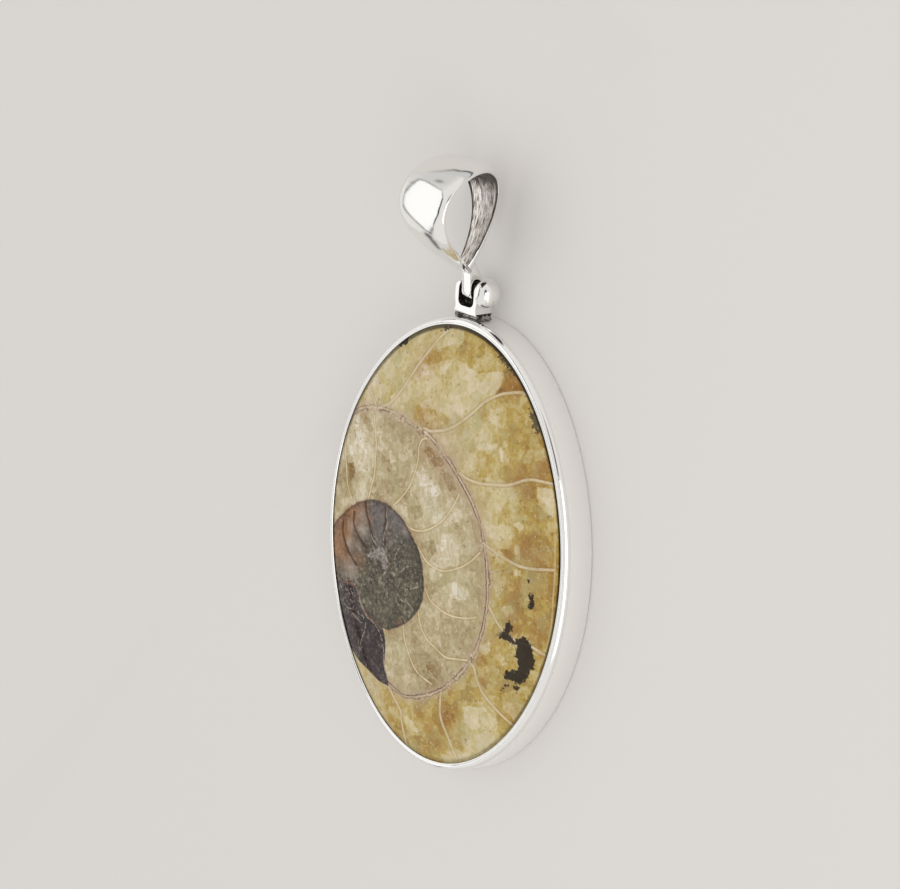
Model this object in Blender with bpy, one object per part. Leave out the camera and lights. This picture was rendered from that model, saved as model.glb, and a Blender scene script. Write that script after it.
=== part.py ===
"""A polished ammonite cabochon in a silver pendant setting, with a bail that swings on a riveted hinge.

The pendant lies on its flat back. X runs across the stone, +Y to the bail and +Z out of the stone's face.
The origin is the middle of the back. Sizes are written in millimetres and turned to metres by MM.
"""

import math

import bmesh
import bpy
from mathutils import Matrix

MM = 0.001

# Stone, as seen inside the lip of its setting
WINDOW_HALF_WIDTH = 15.2 * MM
WINDOW_HALF_LENGTH = 20.0 * MM
STONE_UNDER_LIP = 0.27 * MM
STONE_RIM_Z = 3.15 * MM
STONE_GIRDLE_Z = 2.74 * MM
DOME_RISE = 0.85 * MM
SHOULDER_RISE = 0.3 * MM
SHOULDER_SHARPNESS = 14
# The stone was cut by hand round its fossil, so its oval is a little out of true
THREE_SIDED = -0.005
FOUR_SIDED_COS = 0.0047
FOUR_SIDED_SIN = -0.0043

# Setting
WALL_OUTSIDE = 0.70 * MM
WALL_INSIDE = 0.35 * MM
LIP_Z = 3.3 * MM
PLATE_THICK = 0.6 * MM
FIT = 0.06 * MM
ROUND_STEPS = 96

# Hinge
HINGE_Y = 23.3 * MM
HINGE_Z = 2.0 * MM
ARM_GAP = 2.0 * MM
ARM_THICK = 0.45 * MM
ARM_RADIUS = 0.95 * MM
SADDLE_FLOOR_Y = 21.85 * MM
SADDLE_UNDER_Y = 21.15 * MM
FOOT_HALF_WIDTH = 1.7 * MM
FOOT_Z = (1.2 * MM, 2.65 * MM)
PIN_RADIUS = 0.36 * MM
PIN_HOLE_RADIUS = 0.42 * MM
PIN_DOME_RADIUS = 1.35 * MM
PIN_TAIL_RADIUS = 0.6 * MM
PIN_TAIL_THICK = 0.15 * MM

# Bail, measured from the hinge along its own axis
BAIL_LEAN = math.radians(20)
BAIL_TIP = 2.0 * MM
BAIL_TOP = 12.45 * MM
BAIL_HALF_DEPTH = 4.1 * MM
BAIL_TIP_FORWARD = 0.6 * MM
BAIL_WALL = 0.5 * MM
BAIL_PUFF = 0.35 * MM
BAIL_HOLE_TIP = 2.9 * MM
FRONT_POINTEDNESS = 1.25
REAR_POINTEDNESS = 0.9
HOLE_FULLER = 0.15
FRONT_HALF_WIDTH = 3.5 * MM
REAR_HALF_WIDTH = 2.95 * MM
TIP_HALF_WIDTH = 0.7 * MM
FRONT_WIDENING = 1.1
REAR_WIDENING = 2.4
BAIL_STEPS = 72
TONGUE_HALF_WIDTH = 0.62 * MM
TONGUE_RADIUS = 1.0 * MM


def clear_scene():
    for thing in list(bpy.data.objects):
        bpy.data.objects.remove(thing)


def make_material(name, colour, roughness, metallic):
    material = bpy.data.materials.new(name)
    material.use_nodes = True
    shader = material.node_tree.nodes["Principled BSDF"]
    shader.inputs["Base Color"].default_value = (*colour, 1)
    shader.inputs["Roughness"].default_value = roughness
    shader.inputs["Metallic"].default_value = metallic
    return material


def make_silver(name, roughness):
    return make_material(name, (0.91, 0.90, 0.88), roughness, 1.0)


def add_object(name, bm, material=None, crease=math.radians(40)):
    """Turn a bmesh into an object with outward faces, shaded smooth between its sharp edges."""
    bmesh.ops.recalc_face_normals(bm, faces=bm.faces)
    mesh = bpy.data.meshes.new(name)
    bm.to_mesh(mesh)
    bm.free()
    mesh.shade_smooth()
    mesh.set_sharp_from_angle(angle=crease)
    thing = bpy.data.objects.new(name, mesh)
    bpy.context.scene.collection.objects.link(thing)
    if material:
        mesh.materials.append(material)
    return thing


def apply_boolean(target, tool, operation):
    """Join, cut or keep what two shapes share, then drop the tool shape."""
    modifier = target.modifiers.new(operation.title(), "BOOLEAN")
    modifier.operation = operation
    modifier.object = tool
    graph = bpy.context.evaluated_depsgraph_get()
    result = bpy.data.meshes.new_from_object(target.evaluated_get(graph))
    target.modifiers.remove(modifier)
    result.name = target.data.name
    target.data = result
    bpy.data.objects.remove(tool)


def oval_point(angle, outward, share=1.0):
    """A point of the oval that lies outward from the stone's visible edge, or at a share of the way to it."""
    free_form = (
        1
        + THREE_SIDED * math.cos(3 * angle)
        + FOUR_SIDED_COS * math.cos(4 * angle)
        + FOUR_SIDED_SIN * math.sin(4 * angle)
    )
    across = (WINDOW_HALF_WIDTH + outward) * free_form * share
    along = (WINDOW_HALF_LENGTH + outward) * free_form * share
    return across * math.cos(angle), along * math.sin(angle)


def oval_ring(bm, outward, z, share=1.0):
    ring = []
    for step in range(ROUND_STEPS):
        x, y = oval_point(math.tau * step / ROUND_STEPS, outward, share)
        ring.append(bm.verts.new((x, y, z)))
    return ring


def skin(bm, first, second):
    """Faces between two rings of as many points."""
    count = len(first)
    for i in range(count):
        j = (i + 1) % count
        bm.faces.new((first[i], first[j], second[j], second[i]))


def close_with_point(bm, ring, z):
    middle = bm.verts.new((0, 0, z))
    for i, vert in enumerate(ring):
        bm.faces.new((vert, ring[(i + 1) % len(ring)], middle))


def dome_z(share):
    """Height of the polished face at a share of the way from its middle to its edge."""
    low_dome = DOME_RISE * (1 - share**2)
    shoulder = SHOULDER_RISE * (1 - share**SHOULDER_SHARPNESS)
    return STONE_RIM_Z + low_dome + shoulder


def make_ammonite():
    bm = bmesh.new()
    underside = PLATE_THICK + FIT
    bevel = 0.1 * MM
    rings = [
        oval_ring(bm, STONE_UNDER_LIP - bevel, underside),
        oval_ring(bm, STONE_UNDER_LIP, underside + bevel),
        oval_ring(bm, STONE_UNDER_LIP, STONE_GIRDLE_Z),
    ]
    for share in (1.0, 0.985, 0.96, 0.92, 0.85, 0.74, 0.6, 0.42, 0.2):
        rings.append(oval_ring(bm, 0, dome_z(share), share))
    for lower, upper in zip(rings, rings[1:]):
        skin(bm, lower, upper)
    close_with_point(bm, rings[0], underside)
    close_with_point(bm, rings[-1], dome_z(0))
    stone = make_material("polished calcite and limestone", (0.55, 0.44, 0.20), 0.12, 0.0)
    add_object("ammonite", bm, stone)


def make_bezel():
    """One closed band: a plain wall whose top is rubbed over the stone as a thin lip."""
    bm = bmesh.new()
    profile = (
        (WALL_INSIDE, 0),
        (WALL_OUTSIDE - 0.16 * MM, 0),
        (WALL_OUTSIDE - 0.05 * MM, 0.05 * MM),
        (WALL_OUTSIDE, 0.18 * MM),
        (WALL_OUTSIDE, LIP_Z - 0.62 * MM),
        (WALL_OUTSIDE - 0.04 * MM, LIP_Z - 0.42 * MM),
        (WALL_OUTSIDE - 0.14 * MM, LIP_Z - 0.24 * MM),
        (WALL_OUTSIDE - 0.29 * MM, LIP_Z - 0.08 * MM),
        (WALL_OUTSIDE - 0.46 * MM, LIP_Z + 0.02 * MM),
        (0.10 * MM, LIP_Z + 0.03 * MM),
        (0, LIP_Z - 0.04 * MM),
        (0.03 * MM, LIP_Z - 0.09 * MM),
        (WALL_INSIDE, LIP_Z - 0.57 * MM),
    )
    rings = [oval_ring(bm, outward, z) for outward, z in profile]
    for i, ring in enumerate(rings):
        skin(bm, ring, rings[(i + 1) % len(rings)])
    add_object("bezel", bm, make_silver("mirror-polished silver", 0.07))


def make_back_plate():
    bm = bmesh.new()
    edge = WALL_INSIDE - FIT
    bevel = 0.08 * MM
    rings = [
        oval_ring(bm, edge - bevel, 0),
        oval_ring(bm, edge, bevel),
        oval_ring(bm, edge, PLATE_THICK),
    ]
    for lower, upper in zip(rings, rings[1:]):
        skin(bm, lower, upper)
    close_with_point(bm, rings[0], 0)
    close_with_point(bm, rings[-1], PLATE_THICK)
    add_object("back_plate", bm, make_silver("satin silver sheet", 0.25))


def extrude_outline(name, outline, direction, material=None):
    """A prism: the outline's points in order, pushed along a direction."""
    bm = bmesh.new()
    face = bm.faces.new([bm.verts.new(point) for point in outline])
    pushed = bmesh.ops.extrude_face_region(bm, geom=[face])
    moved = [part for part in pushed["geom"] if isinstance(part, bmesh.types.BMVert)]
    bmesh.ops.translate(bm, verts=moved, vec=direction)
    return add_object(name, bm, material)


def arc(centre, radius, start, end, steps):
    """Points of an arc, with angles in degrees."""
    points = []
    for step in range(steps + 1):
        angle = math.radians(start + (end - start) * step / steps)
        points.append((centre[0] + radius * math.cos(angle), centre[1] + radius * math.sin(angle)))
    return points


def cylinder_along_x(name, radius, x_from, x_to, segments=32):
    """A round bar on the hinge's axis."""
    outline = [(x_from, y, z) for y, z in arc((HINGE_Y, HINGE_Z), radius, 0, 360, segments)[:-1]]
    return extrude_outline(name, outline, (x_to - x_from, 0, 0))


def saddle_front_outline():
    """The saddle seen from the front: a foot on the bezel, and a round-bottomed slot between two arms."""
    inner = ARM_GAP / 2
    outer = inner + ARM_THICK
    corner = 0.55 * MM
    top = HINGE_Y + ARM_RADIUS + 0.1 * MM
    flare = SADDLE_UNDER_Y + 0.35 * MM
    seat = []
    for step in range(9):
        x = FOOT_HALF_WIDTH * (2 * step / 8 - 1)
        angle = math.acos(x / (WINDOW_HALF_WIDTH + WALL_OUTSIDE))
        seat.append((x, oval_point(angle, WALL_OUTSIDE + FIT)[1]))
    slot_right = arc((inner - corner, SADDLE_FLOOR_Y + corner), corner, 0, -90, 5)
    slot_left = arc((corner - inner, SADDLE_FLOOR_Y + corner), corner, -90, -180, 5)
    right = [(outer, flare), (outer, top), (inner, top)]
    left = [(-inner, top), (-outer, top), (-outer, flare)]
    return seat + right + slot_right + slot_left + left


def saddle_side_outline():
    """The saddle seen from its side: a foot set back under the arms, whose ends are round."""
    under = SADDLE_UNDER_Y
    foot_back, foot_front = FOOT_Z
    front, back = HINGE_Z + ARM_RADIUS, HINGE_Z - ARM_RADIUS
    low = WINDOW_HALF_LENGTH
    ease = 0.12 * MM
    foot = [(low, foot_back), (low, foot_front), (under - ease, foot_front)]
    rise = [(under, front - ease), (under + ease, front)]
    fall = [(under + ease, back), (under, back + ease), (under - ease, foot_back)]
    return foot + rise + arc((HINGE_Y, HINGE_Z), ARM_RADIUS, 90, -90, 16) + fall


def make_hinge_mount():
    tall = 4 * MM
    front = [(x, y, 0) for x, y in saddle_front_outline()]
    mount = extrude_outline("hinge_mount", front, (0, 0, tall), make_silver("polished cast silver", 0.09))
    side = [(-tall / 2, y, z) for y, z in saddle_side_outline()]
    apply_boolean(mount, extrude_outline("side_shape", side, (tall, 0, 0)), "INTERSECT")
    apply_boolean(mount, cylinder_along_x("pin_way", PIN_HOLE_RADIUS, -tall, tall), "DIFFERENCE")


def make_hinge_pin():
    """A rivet: a round bar with a domed head on the right and a low tail on the left."""
    head_x = ARM_GAP / 2 + ARM_THICK + FIT
    profile = [(-head_x - PIN_TAIL_THICK, PIN_TAIL_RADIUS - 0.1 * MM)]
    profile += [(-head_x - 0.05 * MM, PIN_TAIL_RADIUS), (-head_x, PIN_TAIL_RADIUS)]
    profile += [(-head_x, PIN_RADIUS), (head_x, PIN_RADIUS), (head_x, PIN_DOME_RADIUS - 0.08 * MM)]
    profile += [(head_x + x, r) for x, r in arc((0, 0), PIN_DOME_RADIUS, 87, 8, 9)]
    bm = bmesh.new()
    segments = 36
    rings = []
    for x, radius in profile:
        ring = []
        for y, z in arc((0, 0), radius, 0, 360, segments)[:-1]:
            ring.append(bm.verts.new((x, y, z)))
        rings.append(ring)
    for first, second in zip(rings, rings[1:]):
        skin(bm, first, second)
    bm.faces.new(rings[0])
    bm.faces.new(rings[-1])
    pin = add_object("hinge_pin", bm, make_silver("burnished silver rivet", 0.08))
    pin.location = (0, HINGE_Y, HINGE_Z)


def front_to_rear(turn, front, rear):
    """A value that is front on the drop's front, rear behind it, and their mean at its tip and top."""
    return (front + rear) / 2 + (front - rear) / 2 * math.sin(turn)


def drop_point(turn, tip, top, half_depth, fuller=0):
    """A point of a drop outline seen from its side. Turn 0 is the tip, and half a turn is the round top."""
    along = (tip + top) / 2 - (top - tip) / 2 * math.cos(turn)
    pointedness = front_to_rear(turn, FRONT_POINTEDNESS, REAR_POINTEDNESS) - fuller
    power = pointedness + 1
    highest = 2 * (power / (power + 1)) ** (power / 2) / math.sqrt(power + 1)
    rise = math.sin(turn) * abs(math.sin(turn / 2)) ** pointedness / highest
    return along, half_depth * rise + BAIL_TIP_FORWARD * math.cos(turn / 2) ** 2


def outer_drop(turn):
    return drop_point(turn, BAIL_TIP, BAIL_TOP, BAIL_HALF_DEPTH)


def hole_drop(turn):
    return drop_point(turn, BAIL_HOLE_TIP, BAIL_TOP - BAIL_WALL, BAIL_HALF_DEPTH - BAIL_WALL, HOLE_FULLER)


def drop_outward(turn):
    """The outward direction of the outer drop outline."""
    small = 0.01
    before = outer_drop(turn - small)
    after = outer_drop(turn + small)
    along, up = after[0] - before[0], after[1] - before[1]
    length = math.hypot(along, up)
    return -up / length, along / length


def bail_half_width(turn):
    """The band is widest over the front of the drop, narrower behind, and narrow at the tip."""
    side = front_to_rear(turn, FRONT_HALF_WIDTH, REAR_HALF_WIDTH)
    widening = front_to_rear(turn, FRONT_WIDENING, REAR_WIDENING)
    return TIP_HALF_WIDTH + (side - TIP_HALF_WIDTH) * abs(math.sin(turn / 2)) ** widening


def bail_section(turn):
    """One cross-section of the band: a puffed outer face and a flat inner one."""
    half = bail_half_width(turn)
    outer = outer_drop(turn)
    inner = hole_drop(turn)
    out = drop_outward(turn)
    fade = math.sin(turn / 2)
    points = []
    for share in (-1, -0.96, -0.8, -0.55, -0.28, 0, 0.28, 0.55, 0.8, 0.96, 1):
        puff = BAIL_PUFF * fade * (1 - share**2)
        points.append((half * share, outer[0] + out[0] * puff, outer[1] + out[1] * puff))
    for share in (1, 0.5, 0, -0.5, -1):
        points.append((half * share, inner[0], inner[1]))
    return points


def make_bail():
    bm = bmesh.new()
    sections = []
    for step in range(BAIL_STEPS):
        turn = math.tau * (step + 0.5) / BAIL_STEPS
        sections.append([bm.verts.new(point) for point in bail_section(turn)])
    for i, section in enumerate(sections):
        skin(bm, section, sections[(i + 1) % len(sections)])
    bail = add_object("bail", bm, make_silver("polished silver with an oxidised inside", 0.06))
    reach = BAIL_HOLE_TIP - 0.25 * MM
    side = arc((0, 0), TONGUE_RADIUS, 60, 300, 18) + [(reach, -0.36 * MM), (reach, 0.36 * MM)]
    outline = [(-TONGUE_HALF_WIDTH, along, up) for along, up in side]
    tongue = extrude_outline("tongue", outline, (2 * TONGUE_HALF_WIDTH, 0, 0))
    apply_boolean(bail, tongue, "UNION")
    way = cylinder_along_x("pin_way", PIN_HOLE_RADIUS, -2 * MM, 2 * MM)
    way.data.transform(Matrix.Translation((0, -HINGE_Y, -HINGE_Z)))
    apply_boolean(bail, way, "DIFFERENCE")
    bail.location = (0, HINGE_Y, HINGE_Z)
    bail.rotation_euler.x = BAIL_LEAN


def main():
    clear_scene()
    make_ammonite()
    make_bezel()
    make_back_plate()
    make_hinge_mount()
    make_hinge_pin()
    make_bail()


main()
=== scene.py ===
"""Dresses the ammonite pendant: a fossil cut and polished flat, a silver setting and a swinging bail.

The pendant lies on its flat back, with +Y to the bail and +Z out of the stone's face. Lengths are in metres.
The fossil's lines are drawn from points of the photograph, which the camera's own axes lay onto the stone.
"""

import math

import bmesh
import bpy
import numpy as np
from mathutils import Matrix, Vector
from mathutils.geometry import delaunay_2d_cdt


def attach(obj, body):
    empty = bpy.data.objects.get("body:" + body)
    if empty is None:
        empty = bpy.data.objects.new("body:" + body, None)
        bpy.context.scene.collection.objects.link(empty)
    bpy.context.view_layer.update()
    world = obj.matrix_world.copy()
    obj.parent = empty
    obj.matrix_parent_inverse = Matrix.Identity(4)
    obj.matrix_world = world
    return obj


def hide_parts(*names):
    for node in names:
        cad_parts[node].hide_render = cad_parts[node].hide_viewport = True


bl_info = {
    "name": "Ammonite pendant",
    "version": (1, 0, 0),
    "blender": (4, 5, 0),
    "location": "3D View > Sidebar > Pendant",
    "description": "Makes the pendant's stone, setting, hinge and bail, and the studio round them",
    "category": "Object",
}

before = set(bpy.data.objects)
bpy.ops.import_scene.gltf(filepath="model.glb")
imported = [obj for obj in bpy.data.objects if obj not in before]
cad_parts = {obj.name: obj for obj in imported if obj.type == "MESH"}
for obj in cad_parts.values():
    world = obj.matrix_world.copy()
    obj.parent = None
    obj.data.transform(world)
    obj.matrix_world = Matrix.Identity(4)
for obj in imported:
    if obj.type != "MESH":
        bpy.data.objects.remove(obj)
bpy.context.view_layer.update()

MM = 0.001

# The stone and its oval, as in the part
WINDOW_HALF_WIDTH = 15.2 * MM
WINDOW_HALF_LENGTH = 20.0 * MM
STONE_UNDER_LIP = 0.27 * MM
STONE_RIM_Z = 3.15 * MM
STONE_GIRDLE_Z = 2.74 * MM
STONE_UNDERSIDE = 0.66 * MM
DOME_RISE = 0.85 * MM
SHOULDER_RISE = 0.3 * MM
SHOULDER_SHARPNESS = 14
THREE_SIDED = -0.005
FOUR_SIDED_COS = 0.0047
FOUR_SIDED_SIN = -0.0043

# The setting
WALL_OUTSIDE = 0.70 * MM
WALL_INSIDE = 0.35 * MM
LIP_Z = 3.3 * MM
# In millimetres, up from the lip's top: the shoulder from the wall's face, and the lip from the stone's edge
BEZEL_SHOULDER = (
    (0, -0.62), (-0.015, -0.50), (-0.05, -0.38), (-0.10, -0.28), (-0.17, -0.18), (-0.26, -0.09),
    (-0.36, -0.03), (-0.45, 0.005),
)
BEZEL_LIP = (
    (0.21, -0.015), (0.17, -0.035), (0.13, 0), (0.09, 0.02), (0.05, 0.015), (0.02, -0.01), (0, -0.045),
    (0.03, -0.09),
)
# Up to where the wall is left brushed, and how little its faces may look up or down
BRUSHED_TOP_Z = 2.7 * MM
UPRIGHT = 0.05

# The hinge
HINGE_Y = 23.3 * MM
HINGE_Z = 2.0 * MM
ARM_GAP = 2.0 * MM
ARM_THICK = 0.45 * MM
FLARE_Y = 21.3 * MM
FOOT_Y = 21.2 * MM
WAIST_Y = 21.75 * MM
WAIST_REACH = 0.5 * MM
WAIST_DEPTH = 0.09
WAIST_CUTS = tuple(y * MM for y in (21.35, 21.6, 21.9, 22.2, 22.5, 22.9))
PIN_RADIUS = 0.36 * MM
PIN_FIT = 0.06 * MM
PIN_DOME_RADIUS = 1.35 * MM
PIN_TAIL_RADIUS = 0.6 * MM
PIN_TAIL_THICK = 0.15 * MM

# The bail, measured from the hinge along its own axis
BAIL_LEAN = math.radians(20)
BAIL_TIP = 2.0 * MM
BAIL_TOP = 12.45 * MM
BAIL_HALF_DEPTH = 4.1 * MM
BAIL_TIP_FORWARD = 0.6 * MM
BAIL_WALL = 0.5 * MM
BAIL_PUFF = 0.35 * MM
BAIL_HOLE_TIP = 2.9 * MM
FRONT_POINTEDNESS = 1.25
REAR_POINTEDNESS = 0.9
HOLE_FULLER = 0.15
FRONT_HALF_WIDTH = 3.5 * MM
REAR_HALF_WIDTH = 2.95 * MM
TIP_HALF_WIDTH = 0.7 * MM
FRONT_WIDENING = 1.1
REAR_WIDENING = 2.4
TONGUE_HALF_WIDTH = 0.62 * MM
TONGUE_RADIUS = 1.0 * MM
NECK_HALF_THICK = 0.36 * MM

# How the bail's band is rounded along its rims
RIM_EASE_ACROSS = 1.0 * MM
RIM_EASE_DEEP = 0.34 * MM
RIM_INNER_EASE = 0.05 * MM
EASE_ANGLES = (15, 30, 45, 60, 75, 90)
FACE_POINTS = 23
INSIDE_FACES = 8
BAIL_STEPS = 168

# The photograph's camera, worked out from the outlines of the stone, its setting and the bail
PICTURE_WIDTH = 900
PICTURE_HEIGHT = 889
PIXELS_PER_METRE = 11150
VIEW_TURN = math.radians(48)
VIEW_RISE = math.radians(9)
VIEW_ROLL = math.radians(5.8)
STONE_IN_PHOTO = (445.9, 543.9)
CAMERA_DISTANCE = 1.2
SENSOR_WIDTH = 36.0
NEAR_CLIP = 0.01
FAR_CLIP = 20
# How often a point's place and its height on the dome are worked out from each other
PLACING_ROUNDS = 4

# The studio's panels, placed where the silver mirrors them in the photograph. Corners are given along the
# pendant and upwards, on a plane as far from the bail as its unit.
BAIL_PLACE = (0, 33 * MM, 7 * MM)
SOFTBOX_FACING = (-0.767, -0.053, 0.639)
SOFTBOX_DISTANCE = 0.6
SOFTBOX_OUTLINE = (
    (-1.12, -0.43), (-0.92, -0.33), (-0.70, -0.25), (-0.46, -0.22), (-0.17, -0.20), (0.02, -0.18),
    (0.36, -0.23), (0.62, -0.34), (0.84, -0.47), (0.93, -0.34), (0.97, -0.15), (1.04, 0.16),
    (0.91, 0.72), (0.43, 0.88), (-0.28, 0.75), (-0.55, 0.40), (-0.82, 0.03),
)
SOFTBOX_RADIANCE = 1.08
# Its black frame: how wide, how much wider along its top, how far up that width is reached, and how far behind
SOFTBOX_FRAME = 0.045
SOFTBOX_FAR_FRAME = 0.22
SOFTBOX_FRAME_RISE = 0.7
FRAME_BEHIND = 1.01
FILL_FACING = (0.86, -0.20, 0.46)
FILL_DISTANCE = 0.35
FILL_OUTLINE = ((-0.6, -0.2), (0.5, -0.2), (0.5, 0.3), (-0.6, 0.3))
FILL_RADIANCE = 1.7
# The backdrop's half width, its painted glow, and how far above it the strips lie that only the silver shows
FLOOR_REACH = 4.0
BACKDROP_GLOW = 0.33
STRIP_LIFT = 0.3 * MM
# Where the backdrop ends behind the bail, seen from the bail's foot, and how wide its shaded edge is
BACKDROP_EDGE = ((14 * MM, 12 * MM), (-16 * MM, 24 * MM), (-53 * MM, 60 * MM), (-320 * MM, 260 * MM))
EDGE_SHADE_REACH = 1.35
TABLE_REACH = 12
SHADE_RADIANCE = 0.12
TABLE_RADIANCE = 0.62
# A dark strap lying on the backdrop, as pairs of points on its two sides, seen from the bail's foot
STRAP = (
    ((-17.3 * MM, -24.9 * MM), (-18.3 * MM, -24.1 * MM)),
    ((-28.3 * MM, -38.1 * MM), (-30.3 * MM, -36.7 * MM)),
    ((-67 * MM, -85 * MM), (-72 * MM, -81 * MM)),
    ((-580 * MM, -677 * MM), (-620 * MM, -643 * MM)),
)
# Facing, inner and outer reach in degrees, and how bright the tent is there
TENT_SPOTS = (
    ((-0.62, 0.78, 0.06), 12, 34, 0.80),
    ((-0.84, 0.46, 0.27), 1.0, 2.2, 0.35),
    ((-0.61, 0.75, 0.25), 2.0, 4.0, 0.40),
    ((-0.681, -0.727, 0.085), 0.8, 2.0, 0.10),
    ((-0.670, -0.740, 0.050), 1.4, 2.6, 0.05),
    ((-0.673, -0.739, 0.010), 1.6, 2.8, 0.05),
)
# The dark gap where the camera stands: half its width and height, where it fades and how bright it is, and
# what keeps it off the opposite side
CAMERA_GAP = (math.radians(11), math.radians(30))
CAMERA_GAP_FADE = (0.75, 1.05, 0.10)
FAR_FROM_GAP = 9.0

# The fossil's lines, as points of the photograph
WHORL_WALL = (
    (338, 428), (345, 420), (352, 415), (360, 409), (370, 407), (380, 408), (390, 411), (400, 417),
    (413, 425), (420, 430), (430, 437), (440, 449), (450, 464), (460, 480), (467, 493), (474, 508),
    (480, 525), (483, 540), (486, 560), (487, 580), (487, 600), (485, 615), (482, 630), (477, 645),
    (470, 660), (460, 673), (450, 683), (440, 690), (428, 695), (415, 697.5), (403, 697), (395, 691),
    (388, 685),
)
PAST_LEFT_RIM = ((379, 674), (360, 645), (300, 600), (300, 450))
CORE_EDGE = (
    (322, 565), (325, 545), (332, 527), (342, 514), (352, 505.5), (362, 501), (374, 500), (387, 504),
    (395, 511), (403, 520), (409, 530), (414, 540), (419, 552), (422, 565), (423.5, 580), (423.5, 593),
    (420.5, 606), (413, 617), (405, 624),
    (395, 629), (385, 630), (375, 622), (365, 612), (360, 600), (357, 590), (352, 583), (340, 580),
)
LENS_EDGE = (
    (322, 572), (327, 600), (336, 626), (347, 645), (358, 662), (369, 673), (379, 683), (388, 687),
    (388, 684), (386, 676), (384, 668), (385, 645), (382, 628), (376, 618), (368, 605), (362, 590),
    (354, 578), (342, 570),
)
OUTER_SEPTA = (
    ((388, 688), (395, 702), (400, 712), (401, 722), (405, 741), (408, 752)),
    ((441, 691), (440, 703), (440, 715), (443, 726), (448, 738), (457, 760)),
    ((470, 662), (474, 668), (476, 677), (481, 690), (488, 700), (496, 709), (511, 723), (520, 731)),
    ((487, 603), (492, 612), (497, 622), (507, 634), (518, 641), (530, 645), (538, 650), (548, 656)),
    ((480, 540), (487, 546), (497, 553), (508, 560), (518, 565), (530, 568), (553, 569)),
    ((460, 473), (466, 478), (475, 482), (485, 484), (505, 485), (515, 483), (525, 480), (535, 480),
     (553, 484)),
    ((424, 428), (430, 431), (437, 431), (445, 430), (455, 426), (465, 419), (475, 411), (485, 402),
     (500, 395), (510, 393.5), (520, 393), (530, 396)),
    ((378, 407), (385, 405), (393, 400), (400, 392), (407, 382), (413, 373), (419, 364), (426, 355),
     (433, 346), (440, 338), (450, 329)),
    ((376, 407), (374, 400), (371.5, 393), (370.5, 385), (370.5, 376), (372, 368)),
    ((346, 420), (352, 414), (358, 409.5), (364, 408), (371, 407.5), (378, 408), (384, 407), (390, 403)),
    ((441, 447), (434, 441), (427, 434), (420, 428)),
)
INNER_SEPTA = (
    ((345, 425), (345, 437), (345, 455), (346, 470), (347, 485), (351, 499)),
    ((374, 415), (375, 430), (376, 445), (375, 460), (374, 475), (371, 487), (368, 499)),
    ((427, 438), (422, 440), (419, 447), (418, 460), (414, 475), (409, 487), (401, 498), (393, 506)),
    ((459, 494), (455, 503), (450, 511), (443, 520), (435, 526), (427, 530), (418, 531), (410, 528),
     (402, 520)),
    ((480, 552), (472, 560), (463, 566), (455, 569), (445, 571), (437, 569), (429, 564), (424, 558),
     (418, 547)),
    ((476, 617), (466, 618), (456, 617), (447, 614), (438, 608), (430, 600), (425, 588)),
    ((467, 660), (455, 659), (445, 657), (435, 648), (427, 640), (421, 628), (418, 612)),
    ((432, 685), (425, 680), (418, 674), (412, 664), (407, 650), (404, 638), (403, 626)),
)
CORE_DARK_SEPTA = (
    ((365, 501), (366, 512), (369, 524), (371, 534), (374, 545)),
    ((354, 512), (353, 524), (357, 535), (362, 543), (367, 549)),
    ((343, 520), (342, 532), (345, 545), (350, 556), (356, 566)),
    ((385, 507), (386, 518), (384, 530), (385, 545)),
)
CORE_PALE_LINES = (
    ((386, 512), (387, 525), (384, 535), (383, 545)),
    ((370, 532), (372, 539), (376, 545)),
    ((399, 548), (395, 557), (395, 566), (399, 573)),
    ((401, 572), (405, 568), (411, 566)),
    ((402, 588), (408, 590), (418, 587)),
    ((400, 600), (408, 604), (413, 611)),
    ((398, 594), (396, 600), (399, 606)),
    ((341, 578), (346, 581), (351, 580)),
    ((342, 602), (345, 607), (350, 610), (354, 606)),
    ((351, 614), (356, 619), (361, 624), (363, 618), (358, 615), (357, 608)),
    ((360, 590), (359, 600), (362, 610), (366, 617)),
    ((365, 624), (364, 632), (361, 640), (359, 650)),
    ((366, 618), (374, 625), (380, 636), (383, 650), (384, 668), (388, 682)),
)
# The line where the last chambers meet the lip, and the grey and the dark stains
RIM_SEAM = ((554, 500), (554, 540), (554, 569), (552, 600), (550, 630), (545, 650))
GREY_PATCH = (
    (368, 557), (372, 551), (382, 549), (386, 556), (387, 565), (384, 576), (381, 563), (374, 559),
)
STAINS = (
    ((515, 638), (524, 636), (530, 643), (533, 655), (534, 664), (529, 671), (526, 678), (519, 683),
     (512, 681), (504, 676), (506, 670), (516, 668), (517, 660), (514, 652), (517, 645)),
    ((497, 634), (503, 631), (506, 622), (509, 620), (512, 628), (509, 633), (516, 642), (512, 644),
     (507, 640), (500, 638)),
    ((529, 592), (532, 595), (533, 604), (530, 609), (528, 602)),
    ((500, 690), (504, 685), (508, 684), (506, 688)),
    ((513, 684), (518, 686), (516, 692)),
    ((527, 579), (529, 584), (528, 585)),
    ((399, 343), (404, 338), (411, 336), (407, 342), (401, 346)),
    ((441, 331), (447, 327), (453, 328), (447, 331)),
)
RIM_STAINS = (
    ((498, 355), (504, 362), (512, 372), (514, 376), (506, 367)),
    ((529, 410), (537, 418), (540, 430), (535, 433), (531, 424)),
)

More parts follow.
